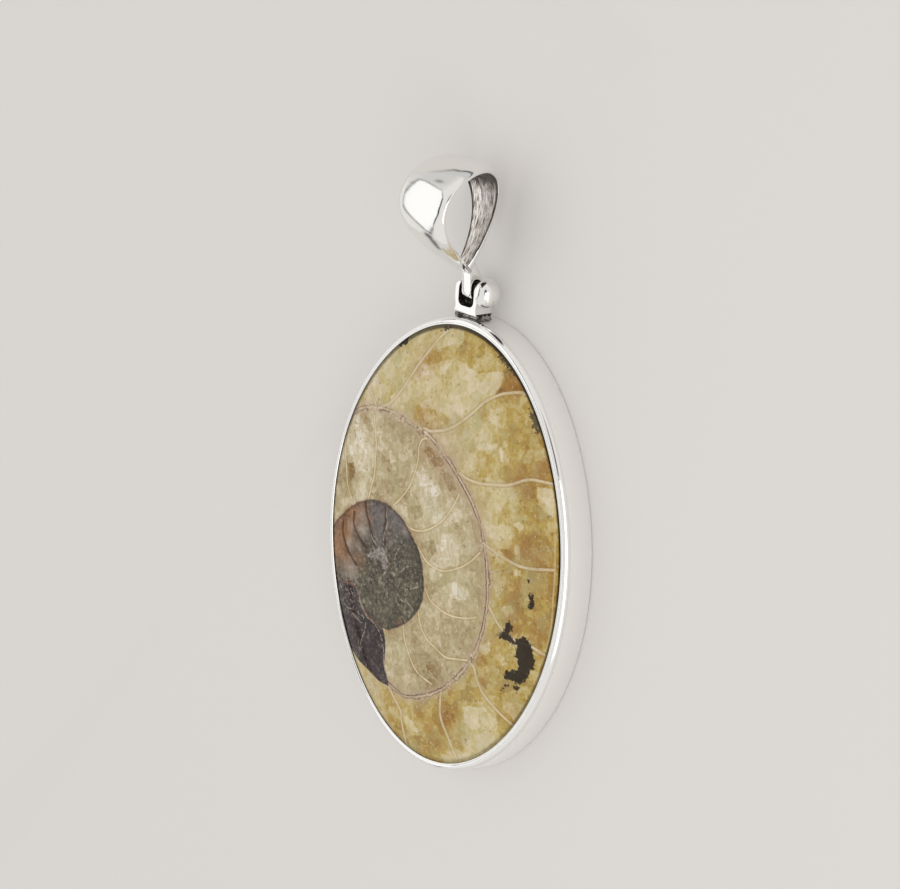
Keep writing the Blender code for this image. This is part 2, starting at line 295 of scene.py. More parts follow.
# Crystals whose edges show, by how deep their yellow is: 0 is white and 1 is brown
CRYSTALS = (
    (0.60, ((458, 345), (470, 339), (482, 339), (492, 346), (499, 355), (503, 363), (511, 369), (502, 371),
            (480, 371), (476, 371), (472, 367), (466, 362), (459, 356))),
    (0.58, ((422, 364), (432, 352), (444, 347), (456, 345), (459, 352), (455, 359), (444, 360), (430, 366))),
    (0.33, ((420, 374), (440, 368), (456, 359), (464, 364), (472, 370), (478, 374), (500, 372), (503, 376),
            (501, 384), (499, 389), (496, 392), (495, 398), (485, 402), (470, 414), (455, 422), (440, 412),
            (422, 407), (412, 400), (416, 386))),
    (0.90, ((503, 372), (512, 369), (520, 380), (526, 392), (513, 391), (500, 394), (496, 398), (495, 393),
            (500, 388), (504, 380))),
    (0.54, ((415, 417), (421, 408), (434, 409), (448, 413), (452, 422), (441, 428), (430, 430), (420, 426))),
    (0.36, ((455, 429), (468, 419), (477, 412), (481, 421), (488, 420), (492, 422), (492, 442), (478, 444),
            (474, 440), (458, 440), (453, 436))),
    (0.24, ((478, 446), (486, 443), (497, 444), (496, 449), (477, 450))),
    (0.55, ((499, 420), (507, 402), (525, 400), (530, 412), (524, 424), (506, 427))),
    (0.58, ((508, 428), (520, 426), (533, 432), (541, 446), (549, 472), (547, 478), (520, 478), (508, 478),
            (504, 462), (503, 452), (509, 440))),
    (0.56, ((478, 451), (496, 451), (498, 462), (498, 476), (490, 479), (475, 476), (472, 464))),
    (0.43, ((458, 443), (474, 443), (475, 448), (471, 462), (464, 466), (456, 453))),
    (0.20, ((500, 449), (503, 451), (502, 461), (500, 462))),
    (0.80, ((530, 464), (546, 458), (551, 470), (553, 480), (532, 479), (519, 476))),
    (0.84, ((520, 486), (535, 484), (535, 496), (531, 500), (528, 498), (522, 490))),
    (0.26, ((537, 487), (552, 488), (555, 510), (552, 519), (545, 513), (537, 503))),
    (0.47, ((487, 488), (512, 486), (519, 491), (514, 500), (500, 502), (488, 505))),
    (0.55, ((510, 502), (530, 501), (546, 515), (552, 530), (550, 541), (530, 529), (522, 522), (511, 517))),
    (0.34, ((490, 526), (500, 523), (511, 527), (512, 543), (508, 548), (496, 547), (489, 540))),
    (0.28, ((513, 524), (519, 521), (523, 527), (519, 531))),
    (0.76, ((521, 541), (526, 533), (531, 537), (530, 560), (523, 562), (520, 550))),
    (0.64, ((532, 541), (552, 532), (553, 566), (533, 563), (531, 550))),
    (0.22, ((514, 545), (519, 544), (520, 561), (515, 558))),
    (0.80, ((500, 549), (510, 549), (514, 555), (513, 562), (505, 556))),
    (0.74, ((506, 577), (519, 576), (519, 586), (516, 590), (511, 586))),
    (0.30, ((513, 568), (520, 570), (520, 575), (514, 575))),
    (0.60, ((521, 573), (540, 572), (552, 573), (550, 608), (543, 634), (534, 620), (524, 612), (521, 590))),
    (0.40, ((490, 573), (499, 571), (503, 588), (497, 597), (490, 588))),
    (0.26, ((500, 607), (511, 604), (513, 612), (506, 616))),
    (0.76, ((500, 619), (519, 616), (527, 632), (520, 638), (506, 632))),
    (0.70, ((529, 633), (540, 628), (545, 640), (540, 648), (531, 641))),
    (0.66, ((504, 650), (512, 647), (515, 658), (510, 664), (503, 660))),
    (0.70, ((475, 655), (486, 657), (486, 665), (477, 666))),
    (0.84, ((476, 670), (484, 680), (488, 689), (484, 688), (478, 679))),
    (0.22, ((479, 644), (490, 642), (490, 652), (481, 655))),
    (0.50, ((500, 693), (531, 684), (525, 701), (514, 719), (503, 706))),
    (0.60, ((460, 693), (473, 686), (482, 694), (478, 701), (466, 705), (459, 700))),
    (0.26, ((463, 707), (484, 707), (498, 722), (494, 740), (480, 748), (466, 744), (465, 724))),
    (0.90, ((442, 711), (454, 714), (455, 722), (449, 728), (443, 722))),
    (0.58, ((452, 731), (462, 728), (462, 744), (465, 753), (457, 756), (450, 740))),
    (0.72, ((411, 706), (420, 708), (424, 721), (418, 720))),
    (0.70, ((424, 725), (432, 728), (440, 738), (441, 748), (430, 744))),
    (0.34, ((404, 716), (412, 722), (420, 735), (408, 738))),
    (0.86, ((425, 446), (432, 448), (433, 458), (430, 460), (424, 452))),
    (0.78, ((433, 452), (446, 462), (444, 466), (436, 468), (431, 462))),
    (0.10, ((423, 453), (429, 460), (431, 469), (427, 465))),
    (0.60, ((442, 468), (452, 476), (457, 490), (449, 491), (444, 483))),
    (0.50, ((384, 421), (397, 422), (399, 440), (384, 447), (380, 434))),
    (0.50, ((399, 424), (412, 428), (416, 440), (412, 448), (400, 446))),
    (0.76, ((348, 464), (353, 462), (355, 472), (351, 482), (348, 477))),
    (0.62, ((365, 415), (371, 420), (373, 432), (368, 431), (363, 422))),
    (0.60, ((421, 542), (434, 540), (436, 551), (429, 561), (421, 556))),
    (0.55, ((409, 507), (421, 505), (424, 516), (414, 520))),
    (0.14, ((427, 488), (439, 484), (442, 494), (431, 497))),
    (0.10, ((440, 541), (446, 540), (447, 549), (441, 551))),
    (0.08, ((347, 443), (354, 446), (353, 456), (348, 452))),
    (0.20, ((443, 588), (449, 583), (458, 583), (466, 588), (470, 595), (462, 600), (450, 598))),
    (0.55, ((424, 584), (434, 582), (437, 592), (428, 597))),
)

# Soft changes of tone: place in the photograph, reach in pixels, and how much deeper the yellow gets there
TONES = (
    ((480, 350), 32, 0.20), ((450, 385), 34, -0.04), ((505, 385), 20, 0.20), ((430, 405), 18, 0.12),
    ((385, 375), 30, -0.12), ((420, 345), 22, -0.08), ((520, 450), 32, 0.20), ((545, 470), 18, 0.28),
    ((470, 440), 24, -0.10), ((500, 415), 20, -0.10), ((530, 520), 34, 0.16), ((533, 548), 20, 0.14),
    ((498, 520), 22, -0.16), ((530, 590), 28, 0.24), ((495, 585), 18, -0.08), ((520, 625), 28, 0.18),
    ((540, 680), 20, -0.08), ((485, 650), 16, 0.04), ((505, 700), 22, 0.12), ((475, 735), 30, -0.12),
    ((425, 730), 28, 0.22), ((448, 718), 14, 0.22), ((465, 698), 20, 0.16), ((378, 705), 24, -0.02),
    ((395, 440), 24, 0.02), ((355, 445), 22, -0.20), ((352, 475), 12, 0.20), ((430, 500), 34, -0.16),
    ((455, 545), 32, -0.14), ((455, 590), 30, -0.14), ((450, 640), 30, -0.10), ((400, 660), 24, -0.04),
    ((430, 675), 20, -0.02), ((345, 500), 20, 0.02), ((448, 338), 13, -0.20), ((458, 600), 24, 0.16),
    ((470, 560), 22, 0.10), ((425, 655), 22, 0.10), ((460, 520), 18, 0.08), ((415, 545), 14, 0.10),
    ((395, 470), 20, 0.06), ((497, 590), 14, 0.12), ((400, 700), 14, 0.10), ((440, 490), 14, 0.05),
    ((548, 600), 26, 0.06), ((468, 642), 30, 0.10), ((512, 700), 26, 0.10), ((450, 690), 30, 0.10),
    ((365, 452), 26, -0.14), ((540, 430), 26, 0.06), ((525, 690), 24, 0.10), ((545, 620), 26, 0.08),
    ((485, 560), 20, 0.06), ((505, 520), 12, 0.12),
)

# Where the colour itself changes softly: place in the photograph, reach in pixels, strength
SOFT_SPOTS = {
    "orange": (((428, 358), 12, 0.7), ((418, 369), 8, 0.8), ((424, 421), 14, 0.7), ((511, 388), 11, 1.0),
               ((543, 471), 13, 0.9), ((520, 478), 12, 0.6), ((430, 453), 8, 0.7), ((438, 464), 6, 0.7),
               ((528, 490), 8, 0.7), ((525, 547), 11, 0.9), ((540, 560), 11, 0.7), ((508, 555), 6, 0.6),
               ((515, 586), 6, 0.7), ((512, 600), 7, 0.5), ((537, 634), 11, 0.6), ((510, 621), 9, 0.7),
               ((547, 592), 7, 0.6), ((448, 719), 8, 1.0), ((418, 713), 8, 0.5), ((427, 728), 7, 0.7),
               ((438, 744), 9, 0.4), ((458, 740), 8, 0.4), ((480, 661), 7, 0.5), ((482, 681), 5, 0.8),
               ((514, 712), 10, 0.5), ((483, 415), 5, 0.5), ((388, 722), 7, 0.7), ((398, 735), 5, 0.5),
               ((350, 470), 4, 0.5), ((364, 416), 5, 0.5), ((482, 608), 3, 0.6), ((541, 655), 5, 0.6)),
    "rust": (((342, 530), 16, 1.0), ((338, 548), 14, 0.9), ((352, 512), 14, 0.9), ((362, 506), 8, 0.7),
             ((348, 558), 12, 0.6), ((358, 560), 8, 0.5), ((400, 627), 5, 0.5), ((368, 520), 5, 0.5)),
    "crumbly": (((345, 407), 12, 0.8), ((372, 410), 14, 0.8), ((398, 420), 14, 0.9), ((420, 434), 12, 0.9),
                ((440, 452), 9, 0.5), ((478, 500), 8, 0.6), ((484, 545), 8, 0.5), ((470, 655), 12, 0.8),
                ((448, 678), 12, 0.6), ((425, 694), 10, 0.4)),
    "dust": (((347, 592), 14, 0.9), ((355, 614), 9, 0.5), ((385, 590), 18, 0.45), ((372, 575), 12, 0.4),
             ((405, 560), 14, 0.35), ((392, 525), 14, 0.35)),
    "grey_violet": (((380, 518), 16, 0.9), ((396, 520), 14, 0.8), ((378, 535), 10, 0.8),
                    ((404, 535), 9, 0.5), ((390, 540), 10, 0.4)),
    "pale_fill": (((349, 544), 6, 0.9), ((362, 530), 7, 0.8), ((349, 571), 9, 0.9), ((351, 527), 5, 0.7),
                  ((362, 516), 6, 0.6), ((405, 532), 4, 0.6), ((358, 548), 5, 0.5)),
    "dark_fill": (((411, 545), 12, 0.8), ((404, 520), 8, 0.5), ((416, 562), 8, 0.6), ((372, 585), 8, 0.5),
                  ((387, 575), 8, 0.5), ((402, 553), 8, 0.4), ((380, 505), 5, 0.6)),
    "olive_fill": (((380, 612), 16, 0.7), ((372, 600), 12, 0.6), ((405, 595), 16, 0.5),
                   ((408, 560), 12, 0.4)),
    "blush": (((446, 455), 26, 0.8), ((425, 436), 14, 0.7), ((400, 420), 12, 0.5), ((465, 492), 14, 0.8),
              ((478, 510), 12, 0.7), ((484, 545), 14, 0.6), ((494, 580), 14, 0.6), ((486, 640), 10, 0.5),
              ((425, 600), 8, 0.5), ((405, 632), 8, 0.6), ((415, 540), 8, 0.4), ((362, 410), 9, 0.6),
              ((470, 560), 10, 0.4), ((390, 503), 8, 0.5), ((372, 690), 16, 0.5), ((465, 655), 10, 0.4)),
}

# Each family of lines, and each family of areas whose edges show
LINES = {
    "wall": (WHORL_WALL,),
    "septum": OUTER_SEPTA,
    "inner_septum": INNER_SEPTA,
    "dark_septum": CORE_DARK_SEPTA,
    "pale_line": CORE_PALE_LINES,
    "seam": (RIM_SEAM,),
}
OUTLINES = {
    "core": (CORE_EDGE,),
    "lens": (LENS_EDGE,),
    "patch": (GREY_PATCH,),
    "stain": STAINS,
    "rim_stain": RIM_STAINS,
}
# What the stone's mesh keeps at each vertex for its material to read
OTHER_VALUES = ("inner_whorl", "crystal_cover", "crystal_depth", "rim", "rim_shade", "tone")
STONE_VALUES = (*LINES, *OUTLINES, *OTHER_VALUES, *SOFT_SPOTS)
# About how much the view foreshortens the stone
FORESHORTENING = 0.8


# Shared helpers


def linear(hex_colour):
    """An sRGB hex colour as the linear RGBA that Blender's sockets take."""
    parts = [int(hex_colour[i : i + 2], 16) / 255 for i in (1, 3, 5)]
    return tuple(p / 12.92 if p <= 0.04045 else ((p + 0.055) / 1.055) ** 2.4 for p in parts) + (1.0,)


def add_node(tree, kind, inputs=None, **settings):
    """Adds a node with its settings.

    An input takes a value, another node's output, a node for its first output, or, as a dictionary, the marks
    between which a value fades.
    """
    node = tree.nodes.new(kind)
    for name, value in settings.items():
        setattr(node, name, value)
    for name, value in (inputs or {}).items():
        if isinstance(value, dict):
            value = add_node(tree, "ShaderNodeMapRange", value)
        if isinstance(value, bpy.types.Node):
            value = value.outputs[0]
        if isinstance(value, bpy.types.NodeSocket):
            tree.links.new(value, node.inputs[name])
        else:
            node.inputs[name].default_value = value
    return node


def new_material(name):
    """A material and its node tree, which is still empty."""
    material = bpy.data.materials.new(name)
    material.use_nodes = True
    material.node_tree.nodes.clear()
    return material, material.node_tree


def finish_material(material, shader_inputs, kind="ShaderNodeBsdfPrincipled"):
    """Gives a material its shader and its output."""
    tree = material.node_tree
    shader = add_node(tree, kind, shader_inputs)
    add_node(tree, "ShaderNodeOutputMaterial", {"Surface": shader})
    return material


def per(size):
    """A noise or cell texture's scale, for features of a real size in metres."""
    return 1 / size


def oval_point(angle, outward, share=1.0):
    """A point of the oval that lies outward from the stone's visible edge, or at a share of the way to it."""
    free_form = oval_free_form(angle)
    across = (WINDOW_HALF_WIDTH + outward) * free_form * share
    along = (WINDOW_HALF_LENGTH + outward) * free_form * share
    return across * np.cos(angle), along * np.sin(angle)


def oval_free_form(angle):
    return (
        1
        + THREE_SIDED * np.cos(3 * angle)
        + FOUR_SIDED_COS * np.cos(4 * angle)
        + FOUR_SIDED_SIN * np.sin(4 * angle)
    )


def oval_share(points):
    """How far each point is on its way from the stone's middle, 0, to its visible edge, 1."""
    x = points[:, 0] / WINDOW_HALF_WIDTH
    y = points[:, 1] / WINDOW_HALF_LENGTH
    return np.hypot(x, y) / oval_free_form(np.arctan2(y, x))


def dome_z(share):
    low_dome = DOME_RISE * (1 - share**2)
    shoulder = SHOULDER_RISE * (1 - np.clip(share, 0, 1) ** SHOULDER_SHARPNESS)
    return STONE_RIM_Z + low_dome + shoulder


def view_axes():
    """Right, up and towards the viewer, for the photograph's camera."""
    turn, rise, roll = VIEW_TURN, VIEW_RISE, VIEW_ROLL
    right = Vector((math.cos(turn), 0, -math.sin(turn)))
    up = Vector((-math.sin(turn) * math.sin(rise), math.cos(rise), -math.cos(turn) * math.sin(rise)))
    rolled = Matrix.Rotation(roll, 3, "Z")
    right, up = rolled @ right, rolled @ up
    return right, up, right.cross(up)


def on_stone(pixels):
    """Where points of the photograph lie on the polished face, in metres."""
    pixels = np.asarray(pixels, float)
    right, up, _ = view_axes()
    across = (pixels[:, 0] - STONE_IN_PHOTO[0]) / PIXELS_PER_METRE
    rise = (STONE_IN_PHOTO[1] - pixels[:, 1]) / PIXELS_PER_METRE
    basis = np.array([[right.x, right.y], [up.x, up.y]])
    height = np.zeros(len(pixels))
    for _ in range(PLACING_ROUNDS):
        flat = np.linalg.solve(basis, np.stack([across - right.z * height, rise - up.z * height])).T
        height = dome_z(np.minimum(oval_share(flat), 1)) - LIP_Z
    return flat


def smooth_line(points, step, closed=False):
    """A smooth curve through the points, as points a step apart."""
    points = np.asarray(points, float)
    if closed:
        points = np.vstack([points[-1:], points, points[:2]])
    else:
        first, last = 2 * points[0] - points[1], 2 * points[-1] - points[-2]
        points = np.vstack([first, points, last])
    dense = []
    for a, b, c, d in zip(points, points[1:], points[2:], points[3:]):
        for t in np.linspace(0, 1, CURVE_STEPS, endpoint=False):
            bend = (2 * a - 5 * b + 4 * c - d) * t**2 + (3 * b - a - 3 * c + d) * t**3
            dense.append(0.5 * (2 * b + (c - a) * t + bend))
    dense.append(points[-2])
    return evenly(np.array(dense), step)


def evenly(points, step):
    """Points a step apart along straight runs."""
    lengths = np.hypot(*np.diff(points, axis=0).T)
    reached = np.concatenate([[0], np.cumsum(lengths)])
    count = max(2, round(reached[-1] / step) + 1)
    wanted = np.linspace(0, reached[-1], count)
    return np.stack([np.interp(wanted, reached, points[:, i]) for i in (0, 1)], axis=1)


def distance_to_lines(points, lines):
    """Each point's distance to the nearest of the lines."""
    nearest = np.full(len(points), np.inf)
    for line in lines:
        start, run = line[:-1], np.diff(line, axis=0)
        length = np.maximum((run**2).sum(1), 1e-18)
        offset = points[:, None, :] - start[None]
        along = np.clip((offset * run).sum(2) / length, 0, 1)
        gap = np.hypot(*(offset - along[..., None] * run).transpose(2, 0, 1))
        nearest = np.minimum(nearest, gap.min(1))
    return nearest


def inside(points, outline):
    """Which points lie inside a closed outline."""
    odd = np.zeros(len(points), bool)
    x, y = points[:, 0], points[:, 1]
    for (x0, y0), (x1, y1) in zip(outline, np.roll(outline, -1, axis=0)):
        if y0 != y1:
            odd ^= ((y0 > y) != (y1 > y)) & (x < (x1 - x0) * (y - y0) / (y1 - y0) + x0)
    return odd


def distance_into(points, outlines):
    """Each point's distance to the nearest outline, above 0 inside one of them and below 0 outside."""
    within = np.zeros(len(points), bool)
    for outline in outlines:
        within |= inside(points, outline)
    closed = [np.vstack([outline, outline[:1]]) for outline in outlines]
    gap = distance_to_lines(points, closed)
    return np.where(within, gap, -gap)


def link_object(name, data):
    thing = bpy.data.objects.new(name, data)
    bpy.context.scene.collection.objects.link(thing)
    return thing


def smooth(thing, crease):
    """Shades an object smooth, but for edges sharper than the crease in degrees."""
    thing.data.shade_smooth()
    thing.data.set_sharp_from_angle(angle=math.radians(crease))


def add_mesh(name, vertices, faces, materials, edges=()):
    """A mesh object at the origin, whose vertices already lie in their places."""
    mesh = bpy.data.meshes.new(name)
    mesh.from_pydata([tuple(map(float, v)) for v in vertices], edges, faces)
    for material in materials:
        mesh.materials.append(material)
    return link_object(name, mesh)


def ring_faces(rings, around, closed=False):
    """Faces between rings of as many vertices each, and from the last ring to the first if closed."""
    faces = []
    for ring in range(rings if closed else rings - 1):
        low, high = ring * around, (ring + 1) % rings * around
        for i in range(around):
            j = (i + 1) % around
            faces.append((low + i, low + j, high + j, high + i))
    return faces


def face_outwards(thing):
    bm = bmesh.new()
    bm.from_mesh(thing.data)
    bmesh.ops.remove_doubles(bm, verts=bm.verts, dist=0.001 * MM)
    bmesh.ops.recalc_face_normals(bm, faces=bm.faces)
    bm.to_mesh(thing.data)
    bm.free()


def give_values(thing, name, values):
    """Stores one number for each vertex, for a material to read."""
    attribute = thing.data.attributes.new(name, "FLOAT", "POINT")
    attribute.data.foreach_set("value", np.asarray(values, np.float32))


def with_modifiers(thing):
    """Turns an object's live modifiers into its plain mesh."""
    graph = bpy.context.evaluated_depsgraph_get()
    result = bpy.data.meshes.new_from_object(thing.evaluated_get(graph))
    thing.modifiers.clear()
    old, thing.data = thing.data, result
    bpy.data.meshes.remove(old)


def ease_edges(thing, width, segments, sharper_than, crease):
    """Rounds the edges sharper than an angle in degrees, then shades the object smooth between creases."""
    ease = thing.modifiers.new("Ease", "BEVEL")
    ease.width = width
    ease.segments = segments
    ease.limit_method = "ANGLE"
    ease.angle_limit = math.radians(sharper_than)
    with_modifiers(thing)
    smooth(thing, crease)


def take_place(thing, body, nodes):
    """Rides on a CAD body and stands for its CAD nodes, which it hides."""
    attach(thing, body)
    if nodes:
        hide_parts(*nodes)


# The stone


CALCITE_COLOURS = (
    (0.00, "#E4DAC4"),
    (0.20, "#D8C8A8"),
    (0.38, "#CBBB8C"),
    (0.58, "#B69C52"),
    (0.74, "#A18140"),
    (0.90, "#947132"),
    (1.00, "#6F4E1E"),
)
INNER_COLOURS = (
    (0.08, "#E6DDCB"),
    (0.26, "#CDC0A1"),
    (0.42, "#B7A780"),
    (0.58, "#A3906A"),
    (0.74, "#8C7144"),
    (0.92, "#70532E"),
)
LIMESTONE_COLOURS = ((0.28, "#1F1916"), (0.44, "#453F34"), (0.58, "#67614F"), (0.72, "#A39C87"))
MUD_COLOURS = ((0.28, "#1A1214"), (0.48, "#382E2E"), (0.58, "#5A4F4A"), (0.70, "#A89C8E"))
PATCH_COLOURS = ((0.34, "#574C47"), (0.58, "#A79D96"))
# Name, usual size of its features and detail
STONE_NOISES = (
    ("broad", 3.4 * MM, 2),
    ("mottle", 1.2 * MM, 3),
    ("grain", 0.36 * MM, 6),
    ("ragged", 0.5 * MM, 4),
    ("fleck", 0.30 * MM, 2),
    ("pit", 0.55 * MM, 1),
)
NOISE_ROUGHNESS = 0.68
# How far apart the vertices are along lines and on the grid between, and how far beside a line they lie
STEP = 0.15 * MM
GRID = 0.27 * MM
LINE_SIDES = (0, -0.07 * MM, 0.07 * MM, -0.17 * MM, 0.17 * MM)
EDGE_SIDES = (0, -0.05 * MM, 0.05 * MM)
CURVE_STEPS = 12
MERGE_MM = 0.004
CELL_SHARE = 0.5
UNDERSIDE_EASE = 0.1 * MM
# How near the visible edge, as a share of the way, the grid, the lines and the edge's own rings come
GRID_SHARE = 0.993
LINE_SHARE = 0.995
RING_SHARES = (1.0, 0.997)
RIM_STEPS = 420
RIM_ANGLES = np.linspace(0, math.tau, RIM_STEPS, endpoint=False)
RIM_SHADE = 0.55
RIM_SHADE_SWING = 0.5
RIM_SHADE_FACING = math.radians(40)
RIM_SHADE_MOST = 0.95
# How the crystals' edges are bent and how far each size of crystal is turned
CRYSTAL_BEND = 0.10
CRYSTAL_TURN = 40 / MM
STRIPE_FADE = 0.06 * MM


def fossil_lines():
    """Each family of the fossil's lines, as smooth lines on the stone."""
    return {name: [smooth_line(on_stone(line), STEP) for line in lines] for name, lines in LINES.items()}


def fossil_areas():
    """Each family of areas, as outlines on the stone."""
    areas = {}
    for name, outlines in OUTLINES.items():
        areas[name] = [smooth_line(on_stone(outline), STEP, closed=True) for outline in outlines]
    wall = smooth_line(on_stone(WHORL_WALL), STEP)
    areas["inner_whorl"] = [np.vstack([wall, on_stone(PAST_LEFT_RIM)])]
    return areas


def crystal_outlines():
    outlines = []
    for depth, outline in CRYSTALS:
        corners = on_stone(outline)
        outlines.append((depth, evenly(np.vstack([corners, corners[:1]]), STEP)))
    return outlines


def beside(line, offset):
    """The line moved sideways."""
    run = np.gradient(line, axis=0)
    run /= np.maximum(np.hypot(run[:, 0], run[:, 1]), 1e-9)[:, None]
    return line + offset * np.stack([-run[:, 1], run[:, 0]], axis=1)


def face_points(lines, areas, crystals):
    """Where the polished face has its vertices: along its lines, beside them, and on a loose grid between."""
    close = []
    for family in lines.values():
        close += [beside(line, side) for line in family for side in LINE_SIDES]
    for family in areas.values():
        close += [beside(line, side) for line in family for side in EDGE_SIDES]
    close += [beside(line, side) for _, line in crystals for side in EDGE_SIDES[1:]]
    close = np.vstack(close)
    columns = np.arange(-WINDOW_HALF_WIDTH, WINDOW_HALF_WIDTH, GRID)
    rows = np.arange(-WINDOW_HALF_LENGTH, WINDOW_HALF_LENGTH, GRID * math.sqrt(3) / 2)
    grid = np.array([(x + (i % 2) * GRID / 2, y) for i, y in enumerate(rows) for x in columns])
    grid = grid[oval_share(grid) < GRID_SHARE]
    cells = {tuple(cell) for cell in np.floor(close / GRID / CELL_SHARE).astype(int)}
    free = [p for p in grid if tuple(np.floor(p / GRID / CELL_SHARE).astype(int)) not in cells]
    close = close[oval_share(close) < LINE_SHARE]
    rings = [np.array(oval_point(RIM_ANGLES, 0, share)).T for share in RING_SHARES]
    return np.vstack([*rings, close, np.array(free)])


def stone_mesh(points):
    """Vertices and faces: the polished dome through the points, then the sides and the flat underside."""
    found, _, faces, origins, _, _ = delaunay_2d_cdt([Vector(p / MM) for p in points], [], [], 0, MERGE_MM)
    flat = np.array([tuple(v) for v in found]) * MM
    top = np.column_stack([flat, dome_z(np.minimum(oval_share(flat), 1))])
    vertex_of = {origin: i for i, several in enumerate(origins) for origin in several}
    ring = [vertex_of[i] for i in range(RIM_STEPS)]
    vertices, faces = list(top), [tuple(face) for face in faces]
    lower_rings = (
        (STONE_UNDER_LIP, STONE_GIRDLE_Z),
        (STONE_UNDER_LIP, STONE_UNDERSIDE + UNDERSIDE_EASE),
        (STONE_UNDER_LIP - UNDERSIDE_EASE, STONE_UNDERSIDE),
    )
    for outward, z in lower_rings:
        x, y = oval_point(RIM_ANGLES, outward)
        lower = list(range(len(vertices), len(vertices) + RIM_STEPS))
        vertices += list(np.column_stack([x, y, np.full(RIM_STEPS, z)]))
        faces += [(ring[i], lower[i], lower[i - 1], ring[i - 1]) for i in range(RIM_STEPS)]
        ring = lower
    middle = len(vertices)
    vertices.append(np.array([0, 0, STONE_UNDERSIDE]))
    faces += [(ring[i - 1], ring[i], middle) for i in range(RIM_STEPS)]
    return np.array(vertices), faces


def rim_shade(flat):
    """How strong the painted shade in the crevice under the lip is: most on the upper right, least on the
    lower left.
    """
    angle = np.arctan2(flat[:, 1], flat[:, 0])
    return np.clip(RIM_SHADE + RIM_SHADE_SWING * np.cos(angle - RIM_SHADE_FACING), 0, RIM_SHADE_MOST)


def spot_strength(flat, place, reach):
    """How strong a soft spot is at each point: 1 in its middle, fading over its reach."""
    gap = np.hypot(*(flat - on_stone([place])).T) * PIXELS_PER_METRE * FORESHORTENING
    return np.exp(-((gap / reach) ** 2))


def crystal_values(flat, crystals):
    """For each point, how far it lies inside the nearest crystal, and how deep that crystal's yellow is."""
    cover, depth_there = np.full(len(flat), -1.0), np.zeros(len(flat))
    for depth, outline in crystals:
        into = distance_into(flat, [outline])
        nearer = into > cover
        cover = np.where(nearer, into, cover)
        depth_there = np.where(nearer, depth, depth_there)
    return cover, depth_there


def make_stone():
    lines, areas, crystals = fossil_lines(), fossil_areas(), crystal_outlines()
    vertices, faces = stone_mesh(face_points(lines, areas, crystals))
    stone = add_mesh("ammonite_stone", vertices, faces, [polished_calcite()])
    smooth(stone, 50)
    flat = vertices[:, :2]
    values = {name: distance_to_lines(flat, family) for name, family in lines.items()}
    values.update((name, distance_into(flat, family)) for name, family in areas.items())
    values["crystal_cover"], values["crystal_depth"] = crystal_values(flat, crystals)
    values["rim"] = (1 - oval_share(flat)) * WINDOW_HALF_WIDTH
    values["rim_shade"] = rim_shade(flat)
    values["tone"] = sum(change * spot_strength(flat, place, reach) for place, reach, change in TONES)
    for name, spots in SOFT_SPOTS.items():
        values[name] = np.max([strength * spot_strength(flat, *spot) for *spot, strength in spots], axis=0)
    for name in STONE_VALUES:
        give_values(stone, name, values[name])
    take_place(stone, "setting", ["ammonite"])


# Masks, each as the marks between which a distance fades


def wobbled(tree, distance, noise, by, aside=0.0):
    """A distance whose zero line is moved aside, and to and fro by a noise."""
    shift = {0: noise, 1: 2 * by, 2: -by - aside}
    shift = add_node(tree, "ShaderNodeMath", shift, operation="MULTIPLY_ADD")
    return add_node(tree, "ShaderNodeMath", {0: distance, 1: shift})


def mask_within(tree, distance, reach, soft, noise, by):
    """1 where the distance is under reach, fading to 0 over soft, with an edge that a noise moves."""
    moved = wobbled(tree, distance, noise, -by)
    return {"Value": moved, "From Min": reach, "From Max": reach + soft, "To Min": 1.0, "To Max": 0.0}


def mask_inside(tree, depth, soft, noise, by):
    """1 inside an outline and 0 outside, fading over soft, with an edge that a noise moves."""
    return {"Value": wobbled(tree, depth, noise, by), "From Min": -soft / 2, "From Max": soft / 2}


def stripe(tree, depth, centre, half_wide, noise, by):
    """1 on a line that keeps beside an outline, moved sideways by a noise."""
    gap = add_node(tree, "ShaderNodeMath", {0: wobbled(tree, depth, noise, by, centre)}, operation="ABSOLUTE")
    outside = half_wide + STRIPE_FADE
    return {"Value": gap, "From Min": half_wide, "From Max": outside, "To Min": 1.0, "To Max": 0.0}


def lay_over(tree, under, masks, strength, colour):
    """A colour laid over another where all the masks are, at most at that strength.

    A mask is a value or the marks of a fade, and a colour is a hex colour, a value or a node.
    """
    factor = strength
    for mask in masks if isinstance(masks, tuple) else (masks,):
        factor = add_node(tree, "ShaderNodeMath", {0: mask, 1: factor}, operation="MULTIPLY")
    over = linear(colour) if isinstance(colour, str) else colour
    return add_node(tree, "ShaderNodeMix", {0: factor, 6: under, 7: over}, data_type="RGBA").outputs[2]


def total(tree, *terms):
    """The sum of values, each times its own weight."""
    value = 0.0
    for term, weight in terms:
        value = add_node(tree, "ShaderNodeMath", {0: term, 1: weight, 2: value}, operation="MULTIPLY_ADD")
    return value


def colour_ramp(tree, value, stops):
    ramp = add_node(tree, "ShaderNodeValToRGB", {"Fac": value})
    elements = ramp.color_ramp.elements
    while len(elements) < len(stops):
        elements.new(0.5)
    for element, (place, colour) in zip(elements, stops):
        element.position = place
        element.color = linear(colour)
    return ramp


